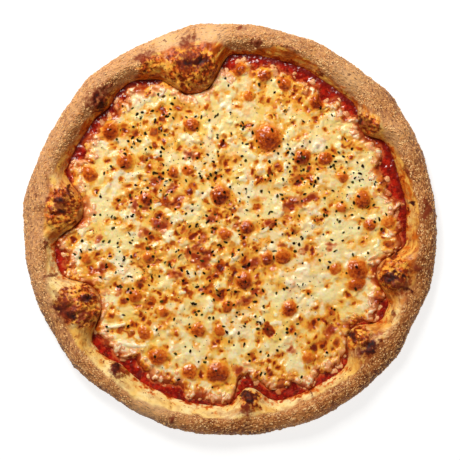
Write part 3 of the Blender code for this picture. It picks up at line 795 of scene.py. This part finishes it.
def crust_look():
    """Baked dough: matt, finely wrinkled tan, golden inside, rust-brown and charred in places."""
    look = Look("baked dough", 0.5, 0.2)
    drawn = look.places("along_rim")
    wrinkle = look.grain(1.0, 3, 0.6, drawn)
    streak = look.grain(4.0, 2, 0.5, drawn)
    speck = look.cells(1.25 * MM)
    patches = look.grain(8 * MM, 3, 0.5)
    crags = look.grain(3 * MM, 4, 0.6)
    freckles = look.grain(2.2 * MM, 2, 0.5)
    clumps = look.grain(5.5 * MM, 3, 0.5)
    broad = look.grain(26 * MM, 3)
    colour = look.blend(look.between(patches, 0.40, 0.62), srgb(174, 100, 46), srgb(136, 66, 26))
    colour = look.blend(look.between(broad, 0.45, 0.62), colour, srgb(190, 118, 62))
    # Painted light: the tan paler on the side towards the lamp
    colour = look.blend(look.times(look.mask("painted_light_side"), 0.6), colour, srgb(228, 174, 124))
    colour = look.blend(look.times(look.between(streak, 0.52, 0.66), 0.6), colour, srgb(156, 86, 40))
    colour = look.blend(look.times(look.mask("light"), 0.75), colour, srgb(240, 192, 136))
    # Painted shade: the rim's lower outer side darker brown, most on the side away from the lamp
    painted_shade_skirt = look.plus(look.mask("painted_shade_skirt"), look.times(look.minus(patches, 0.5), 0.6))
    colour = look.blend(look.times(look.between(painted_shade_skirt, 0.1, 0.8), 0.85), colour, srgb(88, 38, 10))
    # Lighter on the wrinkles' crests and darker in their troughs, which the same grain raises and lowers as
    # bump: painted sheen and painted crease shade on the pebbly skin
    dust_sheen_and_shade = look.times(look.mask("pebbly"), 0.8)
    colour = look.blend(look.times(dust_sheen_and_shade, look.between(wrinkle, 0.50, 0.62)), colour, srgb(240, 176, 104))
    colour = look.blend(look.times(dust_sheen_and_shade, look.between(wrinkle, 0.44, 0.34)), colour, srgb(90, 34, 6))
    rough = look.plus(look.times(patches, 0.6), look.times(crags, 0.6))
    rough = look.minus(rough, 0.6)
    slope_share = look.plus(look.mask("slope"), look.times(rough, 0.8))
    slope = look.blend(look.between(broad, 0.44, 0.56), srgb(250, 204, 104), srgb(255, 230, 160))
    # The slope's tone carries its uneven bake and painted shade: high on the top side, which faces away from
    # the lamp, low on the lit lower side
    tone = look.plus(look.mask("tone"), look.minus(patches, 0.5))
    # How strongly the marks below show follows that tone, so they carry its painted shade too
    baked = look.plus(0.2, look.times(look.mask("tone"), 0.8))
    slope = look.blend(look.times(look.between(crags, 0.46, 0.62), baked), slope, srgb(238, 164, 58))
    slope = look.blend(look.times(look.between(patches, 0.52, 0.70), baked), slope, srgb(212, 122, 34))
    # Browner where the tone is high and pale cream where it is low: the bake with painted shade and painted
    # light
    slope = look.blend(look.between(tone, 0.1, 0.9), slope, srgb(206, 98, 14))
    slope = look.blend(look.times(look.between(tone, 0.4, -0.2), 0.7), slope, srgb(255, 230, 168))
    slope = look.blend(look.times(look.between(streak, 0.50, 0.36), baked), slope, srgb(255, 202, 96))
    slope = look.blend(look.times(look.between(streak, 0.53, 0.64), baked), slope, srgb(158, 60, 12))
    slope = look.blend(look.between(freckles, 0.62, 0.72), slope, srgb(150, 62, 16))
    slope = look.blend(look.times(look.between(clumps, 0.58, 0.68), baked), slope, srgb(166, 66, 14))
    colour = look.blend(look.between(slope_share, 0.15, 0.75), colour, slope)
    foot = look.plus(look.mask("foot"), look.times(rough, 2.0))
    # Orange towards the slope's foot from its bake, then darkest red-brown right at the foot, where it meets
    # the sauce: painted crease shade
    colour = look.blend(look.between(foot, 0.76, 0.98), colour, srgb(220, 110, 30))
    colour = look.blend(look.between(foot, 0.94, 1.12), colour, srgb(158, 48, 12))
    bake = look.mask("bake")
    blistered = look.grain(4.5 * MM, 4, 0.6)
    golden = look.blend(look.between(blistered, 0.38, 0.58), srgb(255, 184, 70), srgb(212, 84, 14))
    uneven = look.plus(bake, look.times(rough, 1.6))
    uneven = look.times(look.between(uneven, 0.1, 0.8), look.between(bake, 0.0, 0.3))
    colour = look.blend(look.times(uneven, 0.92), colour, golden)
    scorched = look.plus(look.times(bake, 0.06), look.times(freckles, 0.5))
    scorched = look.plus(scorched, look.times(blistered, 0.5))
    scorched = look.times(look.between(scorched, 0.53, 0.64), look.between(bake, 0.05, 0.4))
    colour = look.blend(scorched, colour, srgb(126, 40, 8))
    rust = look.plus(look.mask("rust"), look.times(look.minus(crags, 0.5), 3.0))
    rust = look.times(look.between(rust, 0.1, 1.0), look.between(look.mask("rust"), 0.0, 0.25))
    colour = look.blend(look.times(rust, 0.9), colour, srgb(124, 40, 12))
    char = look.plus(look.mask("char"), look.times(look.minus(crags, 0.5), 3.0))
    marked = look.between(look.mask("char"), 0.0, 0.25)
    colour = look.blend(look.times(marked, look.between(char, 0.0, 0.7)), colour, srgb(98, 28, 10))
    colour = look.blend(look.times(marked, look.between(char, 0.6, 1.3)), colour, srgb(50, 24, 20))
    under = look.mask("under")
    spots = look.grain(11 * MM, 4, 0.62)
    below = look.blend(look.between(spots, 0.46, 0.60), srgb(222, 184, 132), srgb(164, 104, 58))
    below = look.blend(look.between(spots, 0.62, 0.72), below, srgb(86, 50, 34))
    colour = look.blend(under, colour, below)
    look.set("Base Color", colour)
    matt = look.minus(0.5, look.times(look.mask("slope"), 0.22))
    burnt = look.math("MAXIMUM", look.mask("char"), look.mask("rust"))
    look.set("Roughness", look.plus(matt, look.times(burnt, 0.3)))
    skin = look.bump(look.between(speck, 0.5, 0.1), 0.18 * MM, 0.5)
    lines = look.times(wrinkle, look.plus(0.25, look.mask("pebbly")))
    skin = look.bump(lines, 0.7 * MM, 0.9, skin)
    look.set("Normal", look.bump(crags, 0.7 * MM, 0.7, skin))
    return look.material


def grain_look():
    """Baked flour grains: pale cream to tan."""
    look = Look("baked grains", 0.6, 0.4)
    look.set("Base Color", look.blend(look.between(look.grain(3 * MM, 2), 0.35, 0.65),
                                      srgb(252, 208, 146), srgb(214, 142, 76)))
    return look.material


def sauce_look():
    """Tomato sauce: deep red, lumpy, wet."""
    look = Look("tomato sauce", 0.15, 0.4)
    patches = look.grain(4 * MM, 4, 0.6)
    fine = look.grain(1.3 * MM, 3, 0.6)
    colour = look.blend(look.between(patches, 0.38, 0.62), srgb(114, 8, 2), srgb(186, 32, 10))
    colour = look.blend(look.between(fine, 0.58, 0.72), colour, srgb(200, 84, 36))
    colour = look.blend(look.between(patches, 0.62, 0.72), colour, srgb(76, 6, 2))
    film = look.plus(look.mask("film"), look.times(look.minus(patches, 0.5), 2.2))
    colour = look.blend(look.times(look.between(film, 0.60, 1.10), 0.8), colour, srgb(204, 100, 48))
    # Painted shadow: darker maroon next to the rim's foot, most on the top side where the rim's shadow falls
    painted_rim_shadow = look.plus(look.mask("painted_rim_shadow"), look.times(look.minus(patches, 0.5), 0.8))
    colour = look.blend(look.times(look.between(painted_rim_shadow, 0.2, 0.8), 0.8), colour, srgb(104, 12, 6))
    look.set("Base Color", colour)
    glossy = look.plus(0.10, look.times(fine, 0.14))
    look.set("Roughness", look.plus(glossy, look.times(look.mask("painted_rim_shadow"), 0.15)))
    look.set("Normal", look.bump(look.grain(3.4 * MM, 1), 1.2 * MM, 0.8))
    return look.material


def herb_look():
    """Dried herb: nearly black green-brown, some flakes greener."""
    look = Look("dried herb", 0.9, 0.05)
    fine = look.grain(0.8 * MM, 3)
    colour = look.blend(look.mask("green"), srgb(34, 18, 6), srgb(74, 66, 18))
    colour = look.blend(look.between(fine, 0.58, 0.78), colour, srgb(84, 60, 26))
    look.set("Base Color", colour)
    look.set("Normal", look.bump(fine, 0.25 * MM, 0.8))
    return look.material


def curd_look():
    """Loose bits of melted cheese: pinkish cream, some golden."""
    look = Look("cheese curd", 0.2, 0.4)
    fine = look.grain(1.2 * MM, 3)
    colour = look.blend(look.mask("toast"), srgb(246, 192, 136), srgb(204, 104, 42))
    colour = look.blend(look.between(fine, 0.50, 0.70), colour, srgb(206, 112, 50))
    look.set("Base Color", colour)
    look.set("Normal", look.bump(fine, 0.6 * MM, 1.0))
    return look.material


def crust_grid():
    """The dough's points, ring by ring from the underside over the rim, with the ring's kind of place."""
    direction = np.arange(CRUST_DIRECTIONS) * (2 * math.pi / CRUST_DIRECTIONS)
    contact = outer_side(direction, -math.pi / 2)
    rings = [(contact[0] * share, contact[1] * share, contact[2] * 0) for share in
             np.linspace(0.2, 0.95, UNDER_RINGS)]
    turns = np.linspace(-math.pi / 2, math.pi / 2, OUTER_RINGS)[:-1]
    rings += [outer_side(direction, turn) for turn in turns]
    shares = 1 - (1 - np.linspace(0, 1, INNER_RINGS)) ** 1.25
    rings += [inner_side(direction, float(share)) for share in shares]
    inner = np.concatenate([np.full(UNDER_RINGS + OUTER_RINGS - 1, 0.0), shares])
    return direction, np.array(rings).transpose(0, 2, 1), inner


def grid_normals(points):
    """Outward directions of a grid of rings."""
    along = np.roll(points, -1, axis=1) - np.roll(points, 1, axis=1)
    across = np.gradient(points, axis=0)
    normal = np.cross(along, across)
    return normal / np.maximum(np.linalg.norm(normal, axis=2, keepdims=True), 1e-12)


def make_crust():
    """The dough with its raised rim, as fine relief on the form of its solid."""
    direction, points, inner = crust_grid()
    across = np.concatenate([[0], np.cumsum(np.linalg.norm(np.diff(points, axis=0), axis=2).mean(axis=1))])
    around = np.broadcast_to(direction / (2 * math.pi), points.shape[:2])
    across = np.broadcast_to(across[:, None], points.shape[:2])
    x, y, z = points[..., 0], points[..., 1], points[..., 2]
    under = np.clip((0.9 * MM - z) / (0.9 * MM), 0, 1) * (across < across[UNDER_RINGS + 3, 0])
    upper = np.clip((z - 5 * MM) / (4 * MM), 0, 1)
    inner = np.broadcast_to(inner[:, None], points.shape[:2])
    ragged = warped(x, y, 81, 5 * MM, 2.2 * MM)
    bake = np.clip(bubble_rise(*ragged) / (2.0 * MM), 0, 1) * upper
    char = marks_at(*ragged, CHAR_MARKS) * upper
    rust = marks_at(*ragged, RUST_MARKS) * upper
    light = zones_at(x, y, [(*row, 1.0) for row in PALE_PARTS]) * upper
    tan_edge = np.interp(direction, np.radians([row[0] for row in TAN_EDGE]), [row[1] for row in TAN_EDGE],
                         period=2 * math.pi) * PIXEL
    streaked = layered(around * 90, across / (6 * MM), 63, 2, 90) * 0.3
    slope = np.clip((tan_edge - np.hypot(x, y)) / SLOPE_START + streaked, 0, 1) * np.maximum(inner > 0, upper)
    pebbly = np.clip(1 - slope * 1.6, 0, 1) * (1 - under) * (1 - 0.8 * bake)
    pebbly = pebbly * (1 - np.clip(char + rust, 0, 1))
    skin = layered(around * 600, across / (1.5 * MM), 51, 2, 600) * 0.16 * MM * (0.35 + 0.65 * pebbly)
    folds = layered(around * 200, across / (4.5 * MM), 54, 2, 200) * 0.32 * MM
    crags = np.abs(layered(around * 180, across / (5 * MM), 57, 3, 180)) * 2.2 * MM
    crags = crags * np.maximum(bake, rust * 0.6)
    edge = np.clip((1 - inner) * 8, 0, 1) * (1 - under)
    relief = (skin + folds + crags - char * 0.25 * MM) * edge
    points = points + grid_normals(points) * relief[..., None]
    points[..., 2] = np.maximum(points[..., 2], 0)
    rings, count = points.shape[:2]
    faces = grid_faces(rings, count, True).tolist()
    low, high = rings * count, rings * count + 1
    for i in range(count):
        j = (i + 1) % count
        faces.append((low, j, i))
        faces.append((high, (rings - 1) * count + i, (rings - 1) * count + j))
    flat = np.concatenate([points.reshape(-1, 3), [(0, 0, 0), (0, 0, DOUGH_FLOOR)]])
    # Paler towards the lamp's side of the rim: painted light
    painted_light_side = np.broadcast_to(np.clip(0.45 + 0.65 * np.cos(direction - PAINTED_LIGHT_SIDE), 0, 1), z.shape)
    rim_wide = sampled(OUTLINE, direction) - sampled(FOOT, direction)
    bulging = np.clip(rim_wide / RIM_WIDTH - 1.1, 0, 0.4) / 0.4
    bulging = np.broadcast_to(bulging, z.shape)
    # Painted shade on the lower outer side: strongest on the side away from the lamp, weaker elsewhere
    facing = np.clip(0.55 - 0.75 * np.sin(direction - 0.15), 0.35, 1)
    painted_shade_skirt = np.clip((SHADE_SKIRT_TOP - z) / (SHADE_SKIRT_TOP / 2), 0, 1) * facing * (1 - under) * (inner <= 0)
    # Tone of the inner slope by direction: its uneven bake with painted shade on the side away from the lamp
    slope_shade_and_bake = np.interp(direction, np.radians([row[0] for row in SLOPE_SHADE_AND_BAKE]), [row[1] for row in SLOPE_SHADE_AND_BAKE],
                      period=2 * math.pi)
    slope_shade_and_bake = np.broadcast_to(slope_shade_and_bake, z.shape)
    # The foot and tone masks carry painted shade with the dough's bake, the skirt mask painted shade, the
    # fair mask painted light
    masks = {"under": under, "slope": slope, "foot": inner - 0.2 * bake - 0.6 * bulging, "bake": bake,
             "char": char, "rust": rust, "light": light,
             "pebbly": pebbly, "painted_shade_skirt": painted_shade_skirt, "tone": slope_shade_and_bake, "painted_light_side": painted_light_side}
    masks = {name: np.append(values.ravel(), [1.0 if name == "under" else 0.0, 0.0])
             for name, values in masks.items()}
    round_rim = direction * np.ones((rings, 1))
    girth = DIAMETER / 2 / WRINKLE_LENGTH
    drawn = np.stack([girth * np.cos(round_rim), girth * np.sin(round_rim), across / WRINKLE_WIDTH], axis=-1)
    masks["along_rim"] = np.concatenate([drawn.reshape(-1, 3), np.zeros((2, 3))])
    piece = add_piece("crust_skin", flat, faces, crust_look(), masks)
    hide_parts("crust")
    dusted = np.argwhere((pebbly * (1 - light) > 0.35) & (z > 4 * MM))
    make_grains(points, dusted)


def make_grains(points, dusted):
    """Fine grains baked into the rim's skin, each an uneven double pyramid that stands half out."""
    draw = np.random.default_rng(GRAIN_SEED)
    rings, columns = dusted[draw.integers(0, len(dusted), GRAIN_COUNT)].T
    normal = grid_normals(points)[rings, columns]
    side = np.cross(normal, (0, 0, 1.0))
    side /= np.maximum(np.linalg.norm(side, axis=1, keepdims=True), 1e-9)
    other = np.cross(normal, side)
    turn = draw.uniform(-0.7, 0.7, (GRAIN_COUNT, 1))
    side, other = side * np.cos(turn) + other * np.sin(turn), other * np.cos(turn) - side * np.sin(turn)
    centre = points[rings, columns] + (side * draw.uniform(-1, 1, (GRAIN_COUNT, 1))
                                       + other * draw.uniform(-1, 1, (GRAIN_COUNT, 1))) * 0.4 * MM
    size = draw.uniform(*GRAIN_SIZE, (GRAIN_COUNT, 1))
    side = side * draw.uniform(*GRAIN_STRETCH, (GRAIN_COUNT, 1))
    arms = (side, other, -side, -other, normal * 0.75, -normal * 0.75)
    corners = np.stack([centre + arm * size * draw.uniform(0.8, 1.2, (GRAIN_COUNT, 1)) for arm in arms],
                       axis=1)
    form = np.array([(0, 1, 4), (1, 2, 4), (2, 3, 4), (3, 0, 4), (1, 0, 5), (2, 1, 5), (3, 2, 5), (0, 3, 5)])
    faces = (np.arange(GRAIN_COUNT)[:, None, None] * len(arms) + form[None]).reshape(-1, 3).tolist()
    add_piece("crust_grains", corners.reshape(-1, 3), faces, grain_look())


def make_sauce():
    """The tomato sauce, which meets the rim's foot and goes on under the cheese."""
    direction = np.arange(CRUST_DIRECTIONS) * (2 * math.pi / CRUST_DIRECTIONS)
    outer = sampled(FOOT, direction) + 0.6 * MM
    inner = sampled(CHEESE_OUTLINE, direction) - 5 * MM
    rings = [(outer, np.full(CRUST_DIRECTIONS, SAUCE_BOTTOM))]
    for share in np.linspace(0, 1, SAUCE_RINGS):
        radius = outer + (inner - outer) * share
        around = direction / (2 * math.pi)
        lumps = layered(around * 170, radius / (4.6 * MM), 61, 3, 170) * 0.7 * MM
        swell = 0.7 * MM * math.sin(math.pi / 2 * min(share * 2, 1))
        sunk = 1.1 * MM * max(share * 2 - 1, 0)
        rings.append((radius, SAUCE_TOP + swell + lumps * (1 - share) - sunk))
    points = np.array([(r * np.cos(direction), r * np.sin(direction), z) for r, z in rings])
    points = points.transpose(0, 2, 1)
    count, rows = CRUST_DIRECTIONS, len(rings)
    faces = grid_faces(rows, count, True).tolist()
    low, high = rows * count, rows * count + 1
    for i in range(count):
        j = (i + 1) % count
        faces.append((low, j, i))
        faces.append((high, (rows - 1) * count + i, (rows - 1) * count + j))
    flat = np.concatenate([points.reshape(-1, 3), [(0, 0, SAUCE_BOTTOM), (0, 0, SAUCE_TOP - 0.4 * MM)]])
    reach = np.hypot(flat[:, 0], flat[:, 1]) - sampled(MELT_OUTLINE, np.arctan2(flat[:, 1], flat[:, 0]))
    film = np.clip(1 - reach / (6 * MM), 0, 1)
    facing = np.arctan2(flat[:, 1], flat[:, 0])
    # Painted shadow of the rim on the sauce: near its foot, strongest on the top side
    painted_rim_shadow = sampled(FOOT, facing) - np.hypot(flat[:, 0], flat[:, 1])
    painted_rim_shadow = np.clip(1 - painted_rim_shadow / (5 * MM), 0, 1) * np.clip(0.6 + 0.6 * np.sin(facing), 0, 1)
    piece = add_piece("sauce_layer", flat, faces, sauce_look(), {"film": film, "painted_rim_shadow": painted_rim_shadow})
    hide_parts("sauce")


def disc_grid(side):
    """A square grid bent evenly onto a disc: the radius, from 0 to 1, and direction of each point."""
    line = np.linspace(-1, 1, side + 1)
    a, b = np.meshgrid(line, line)
    wide = np.abs(a) >= np.abs(b)
    safe_a = np.where(a == 0, 1, a)
    safe_b = np.where(b == 0, 1, b)
    turn = np.where(wide, b / safe_a, 2 - a / safe_b) * math.pi / 4
    turn = np.where(np.where(wide, a, b) < 0, turn + math.pi, turn)
    return np.maximum(np.abs(a), np.abs(b)), turn


def make_cheese():
    """The sheet of melted cheese: shreds, pits and blisters as relief on the form of its solid."""
    share, direction = disc_grid(CHEESE_SIDE)
    radius = share * sampled(MELT_OUTLINE, direction)
    x, y = (radius * np.cos(direction)).ravel(), (radius * np.sin(direction)).ravel()
    inset = cheese_inset(x, y)
    small = random_rows(SMALL_BLISTER_COUNT, SMALL_BLISTER_SEED, (3.0, 7.0), (0.4, 1.0))
    pits = random_rows(PIT_COUNT, PIT_SEED, (1.8, 3.8), (0.3, 1.0))
    pool = zones_at(x, y, [(*row, 1.0) for row in POOLS])
    blisters = np.clip(blister_rise(x, y, BLISTERS) / (1.2 * MM), 0, 1)
    rim = np.clip(1 - (sampled(MELT_OUTLINE, np.arctan2(y, x)) - np.hypot(x, y)) / RED_BAND, 0, 1)
    shreds, white = shred_relief(x, y, list(shred_rows()))
    lumps, pale = shred_relief(x, y, list(lump_rows()))
    shreds = shreds * (1 - np.clip(rim * 2, 0, 1))
    strands, bright = shred_relief(x, y, list(strand_rows()))
    pale = np.where(lumps > np.maximum(shreds, strands), pale, 0)
    white = np.where(lumps > shreds, 0, white)
    white = np.where(strands > np.maximum(shreds, lumps), bright, white) * (1 - blisters)
    shreds = np.maximum(np.maximum(shreds, lumps), strands)
    ragged = warped(x, y, 91, 4 * MM, 1.2 * MM)
    calm = (1 - 0.75 * pool) * (1 - 0.8 * blisters)
    height = cheese_top(x, y)
    height += blister_rise(x, y, SPOTS) * 0.8 * inset
    height += (shreds - 0.3 * MM) * calm * np.clip(inset * 2.5, 0, 1)
    height -= blister_rise(x, y, pits + small) * 0.9 * inset * (1 - blisters)
    height += layered(x / (2.2 * MM), y / (2.2 * MM), 71, 2) * 0.16 * MM * calm * inset
    height += layered(x / (1.6 * MM), y / (1.6 * MM), 75, 1) * 0.18 * MM * blisters
    gently = warped(x, y, 93, 9 * MM, 1.5 * MM)
    domed = spots_at(*gently, BLISTERS, 0.4, 0.25)
    loose = warped(x, y, 99, 3 * MM, 1.6 * MM)
    toast = np.maximum(spots_at(*ragged, SPOTS, 0.9, 0.8),
                       spots_at(*loose, small + pits, 1.0, 1.0) * (1 - 0.4 * pool))
    # Hollows between the shreds: they carry oil, painted warm shade and, near the edge, sauce
    valley = (1 - np.clip(shreds / (0.8 * MM), 0, 1)) * (1 - pool)
    golden = zones_at(x, y, GOLDEN_ZONES) * 1.6 - 3 * pool + rim
    stain = np.maximum(marks_at(*warped(x, y, 95, 3 * MM, 2 * MM), SAUCE_STREAKS), 1.2 * rim * valley)
    pale = pale * (1 - blisters)
    side = CHEESE_SIDE + 1
    faces = grid_faces(side, side, False).tolist()
    border = np.concatenate([
        np.arange(side), np.arange(1, side) * side + side - 1,
        (side - 1) * side + np.arange(side - 2, -1, -1), np.arange(side - 2, 0, -1) * side,
    ])
    points = np.stack([x, y, height], axis=1)
    lower = points[border] * (1, 1, 0) + (0, 0, SAUCE_TOP - 0.6 * MM)
    first, count = len(points), len(border)
    for i in range(count):
        j = (i + 1) % count
        faces.append((int(border[j]), int(border[i]), first + i, first + j))
        faces.append((first + count, first + j, first + i))
    points = np.concatenate([points, lower, [(0, 0, SAUCE_TOP - 0.6 * MM)]])
    masks = {"pool": pool, "toast": toast, "domed": domed, "golden": golden, "stain": stain, "pale": pale,
             "valley": valley, "white": white}
    masks = {name: np.concatenate([values, values[border], [0.0]]) for name, values in masks.items()}
    piece = add_piece("cheese_melt", points, faces, cheese_look(), masks)
    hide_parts("cheese")
    return piece


def surface_tree(piece):
    """A piece's surface, to set smaller things on."""
    mesh = piece.data
    corners = [vertex.co[:] for vertex in mesh.vertices]
    return BVHTree.FromPolygons(corners, [tuple(face.vertices) for face in mesh.polygons])


def herb_density(x, y, rows):
    """How thickly the herbs lie at a place, from 0 to 1."""
    nearest = 0
    for px, py, spread in rows:
        u, v = place(px, py)
        nearest = max(nearest, math.exp(-((x - u) ** 2 + (y - v) ** 2) / (spread * PIXEL) ** 2))
    return STRAY_HERBS + (1 - STRAY_HERBS) * nearest


def inset_of(point):
    """How far a point lies inside the cheese's outline."""
    return float(sampled(CHEESE_OUTLINE, math.atan2(point.y, point.x))) - point.length


def flake_places(draw, count, apart, inset, rows):
    """Places for flakes, thickest at the rows' places, none too near another."""
    chosen = []
    while len(chosen) < count:
        radius = DIAMETER / 2 * FLAKE_SPREAD * math.sqrt(draw.random())
        turn = draw.uniform(0, 2 * math.pi)
        point = Vector((radius * math.cos(turn), radius * math.sin(turn)))
        wanted = draw.random() < herb_density(point.x, point.y, rows) and inset_of(point) > inset
        if wanted and all((point - q).length > apart for q in chosen):
            chosen.append(point)
    return chosen


def flake_form(draw, lengths, widths, thickness):
    """One dried leaf fragment: the points and faces of a thin plate with uneven corners, a little domed."""
    length = draw.uniform(*lengths) / 2
    width = draw.uniform(*widths) / 2
    turns = [2 * math.pi * (i + draw.uniform(-0.25, 0.25)) / FLAKE_CORNERS for i in range(FLAKE_CORNERS)]
    reach = [draw.uniform(0.75, 1.1) for _ in turns]
    rim = [(length * r * math.cos(t), width * r * math.sin(t)) for r, t in zip(reach, turns)]
    half = thickness / 2
    points = [(x, y, half) for x, y in rim] + [(x, y, -half) for x, y in rim]
    points += [(0, 0, half * FLAKE_DOME), (0, 0, -half * FLAKE_DOME)]
    count = FLAKE_CORNERS
    faces = []
    for i in range(count):
        j = (i + 1) % count
        faces += [(2 * count, i, j), (2 * count + 1, count + j, count + i)]
        faces += [(i, count + i, count + j), (i, count + j, j)]
    return points, faces


def set_down(tree, draw, place_on, tilt):
    """Where a small thing rests on a surface, turned to face away from it, leaning and spun at random."""
    hit, normal, _, _ = tree.ray_cast(Vector((place_on.x, place_on.y, DIAMETER)), Vector((0, 0, -1)))
    if hit is None:
        return None
    lean = Euler(([draw.uniform(-tilt, tilt) for _ in range(2)] + [0])).to_matrix()
    spin = Matrix.Rotation(draw.uniform(0, 2 * math.pi), 3, "Z")
    facing = normal.to_track_quat("Z", "Y").to_matrix()
    return Matrix.Translation(hit) @ (facing @ lean @ spin).to_4x4()


def make_herbs(cheese):
    """The dried herb flakes: the large ones where the solid has them, and small ones between."""
    tree = surface_tree(cheese)
    draw = random.Random(FLAKE_SEED)
    points, faces, green = [], [], []
    large = [(place_on, FLAKE_LENGTH, FLAKE_WIDTH, FLAKE_THICKNESS) for place_on in
             flake_places(draw, FLAKE_COUNT, FLAKE_APART, FLAKE_INSET, HERB_PLACES)]
    tone = random.Random(FLAKE_SEED + 1)
    more = random.Random(FLAKE_SEED + 2)
    small = [(place_on, CRUMB_LENGTH, CRUMB_WIDTH, CRUMB_THICKNESS) for place_on in
             flake_places(more, CRUMB_COUNT, CRUMB_APART, CRUMB_INSET, SMALL_HERB_PLACES)]
    small += [(place_on, DUST_LENGTH, DUST_WIDTH, CRUMB_THICKNESS) for place_on in
              flake_places(more, DUST_COUNT, DUST_APART, DUST_INSET, SMALL_HERB_PLACES)]
    for place_on, lengths, widths, thickness in large + small:
        form, sides = flake_form(draw, lengths, widths, thickness)
        rest = set_down(tree, draw, place_on, FLAKE_TILT)
        if rest is None:
            continue
        first = len(points)
        points += [rest @ Vector(point) for point in form]
        faces += [tuple(first + i for i in side) for side in sides]
        green += [tone.random() ** 3] * len(form)
    piece = add_piece("herb_flakes", np.array([tuple(p) for p in points]), faces, herb_look(),
                      {"green": np.array(green)})
    piece.data.set_sharp_from_angle(angle=math.radians(40))


def curd_form(draw, size):
    """One melted drop: the points and faces of a flat ball with an uneven, lobed outline."""
    turns = [2 * math.pi * i / CURD_SIDES for i in range(CURD_SIDES)]
    first, second = draw.uniform(0, 2 * math.pi), draw.uniform(0, 2 * math.pi)
    stretch = draw.uniform(0.0, 0.35)
    lobes = [1 + stretch * math.cos(2 * (t - first)) + 0.16 * math.cos(3 * (t - second)) for t in turns]
    points = [(0, 0, size * CURD_HEIGHT)]
    for row in range(1, CURD_ROWS):
        polar = math.pi * row / CURD_ROWS
        rise = size * CURD_HEIGHT * math.cos(polar)
        reach = size * math.sin(polar) ** 0.8
        points += [(reach * r * math.cos(t), reach * r * math.sin(t), rise) for r, t in zip(lobes, turns)]
    points.append((0, 0, -size * CURD_HEIGHT))
    faces = [(0, 1 + i, 1 + (i + 1) % CURD_SIDES) for i in range(CURD_SIDES)]
    for row in range(CURD_ROWS - 2):
        top = 1 + row * CURD_SIDES
        for i in range(CURD_SIDES):
            j = (i + 1) % CURD_SIDES
            faces.append((top + i, top + CURD_SIDES + i, top + CURD_SIDES + j, top + j))
    last = len(points) - 1
    low = last - CURD_SIDES
    faces += [(last, low + (i + 1) % CURD_SIDES, low + i) for i in range(CURD_SIDES)]
    return points, faces


def make_curds():
    """Drops of melted cheese that lie on the sauce along the cheese's edge."""
    draw = random.Random(CURD_SEED)
    points, faces, toast = [], [], []
    for _ in range(CURD_COUNT):
        turn = draw.uniform(0, 2 * math.pi)
        inner = float(sampled(MELT_OUTLINE, turn))
        outer = float(sampled(FOOT, turn)) - CURD_SIZE[1]
        radius = min(inner + draw.gauss(0, CURD_SCATTER), outer)
        form, sides = curd_form(draw, draw.uniform(*CURD_SIZE))
        on = Vector((radius * math.cos(turn), radius * math.sin(turn), SAUCE_TOP + 0.5 * MM))
        first = len(points)
        points += [on + Vector(point) for point in form]
        faces += [tuple(first + i for i in side) for side in sides]
        toast += [draw.random() ** 1.5] * len(form)
    add_piece("cheese_curds", np.array([tuple(p) for p in points]), faces, curd_look(),
              {"toast": np.array(toast)})


def make_floor():
    """A plain pale floor."""
    mesh = bpy.data.meshes.new("floor")
    side = 6.0
    corners = [(-side, -side, 0), (side, -side, 0), (side, side, 0), (-side, side, 0)]
    mesh.from_pydata(corners, [], [(0, 1, 2, 3)])
    look = Look("pale floor", 0.9, 0.1)
    look.set("Base Color", look.blend(look.grain(0.4, 2), srgb(158, 158, 158), srgb(154, 154, 154)))
    look.set("Emission Color", (1, 1, 1, 1))
    look.set("Emission Strength", 0.8)
    mesh.materials.append(look.material)
    floor = bpy.data.objects.new("floor", mesh)
    floor.location.z = -0.1 * MM
    bpy.context.scene.collection.objects.link(floor)


def add_lamp(name, spot, size, power, colour):
    """A soft square lamp that shines on the pizza."""
    data = bpy.data.lights.new(name, "AREA")
    data.size = size
    data.energy = power
    data.color = colour
    lamp = bpy.data.objects.new(name, data)
    lamp.location = spot
    lamp.rotation_euler = (-Vector(spot)).to_track_quat("-Z", "Y").to_euler()
    lamp.visible_camera = False
    bpy.context.scene.collection.objects.link(lamp)


def make_light():
    """Soft studio light, strongest from the photo's top."""
    world = bpy.data.worlds.new("studio")
    world.use_nodes = True
    world.node_tree.nodes["Background"].inputs["Color"].default_value = (1, 0.88, 0.74, 1)
    world.node_tree.nodes["Background"].inputs["Strength"].default_value = 0.12
    bpy.context.scene.world = world
    add_lamp("key", (-0.38, 0.9, 1.0), 0.5, 21.5, (1, 0.99, 0.96))
    add_lamp("fill", (0.3, -0.9, 0.8), 1.2, 2.4, (1, 0.82, 0.62))
    bpy.context.scene.view_settings.view_transform = "Standard"


def make_camera():
    """A camera straight above, with the photo's frame and its top towards +Y."""
    data = bpy.data.cameras.new("camera")
    height = 1.6
    data.sensor_width = 36
    data.lens = data.sensor_width * height / (PHOTO_SIDE * PIXEL)
    camera = bpy.data.objects.new("camera", data)
    middle = place(PHOTO_SIDE / 2, PHOTO_SIDE / 2)
    camera.location = (*middle, height + RIM_HEIGHT * WIDEST_SHARE)
    bpy.context.scene.collection.objects.link(camera)
    bpy.context.scene.camera = camera


make_camera()
make_crust()
make_sauce()
melt = make_cheese()
make_herbs(melt)
make_curds()
make_floor()
make_light()
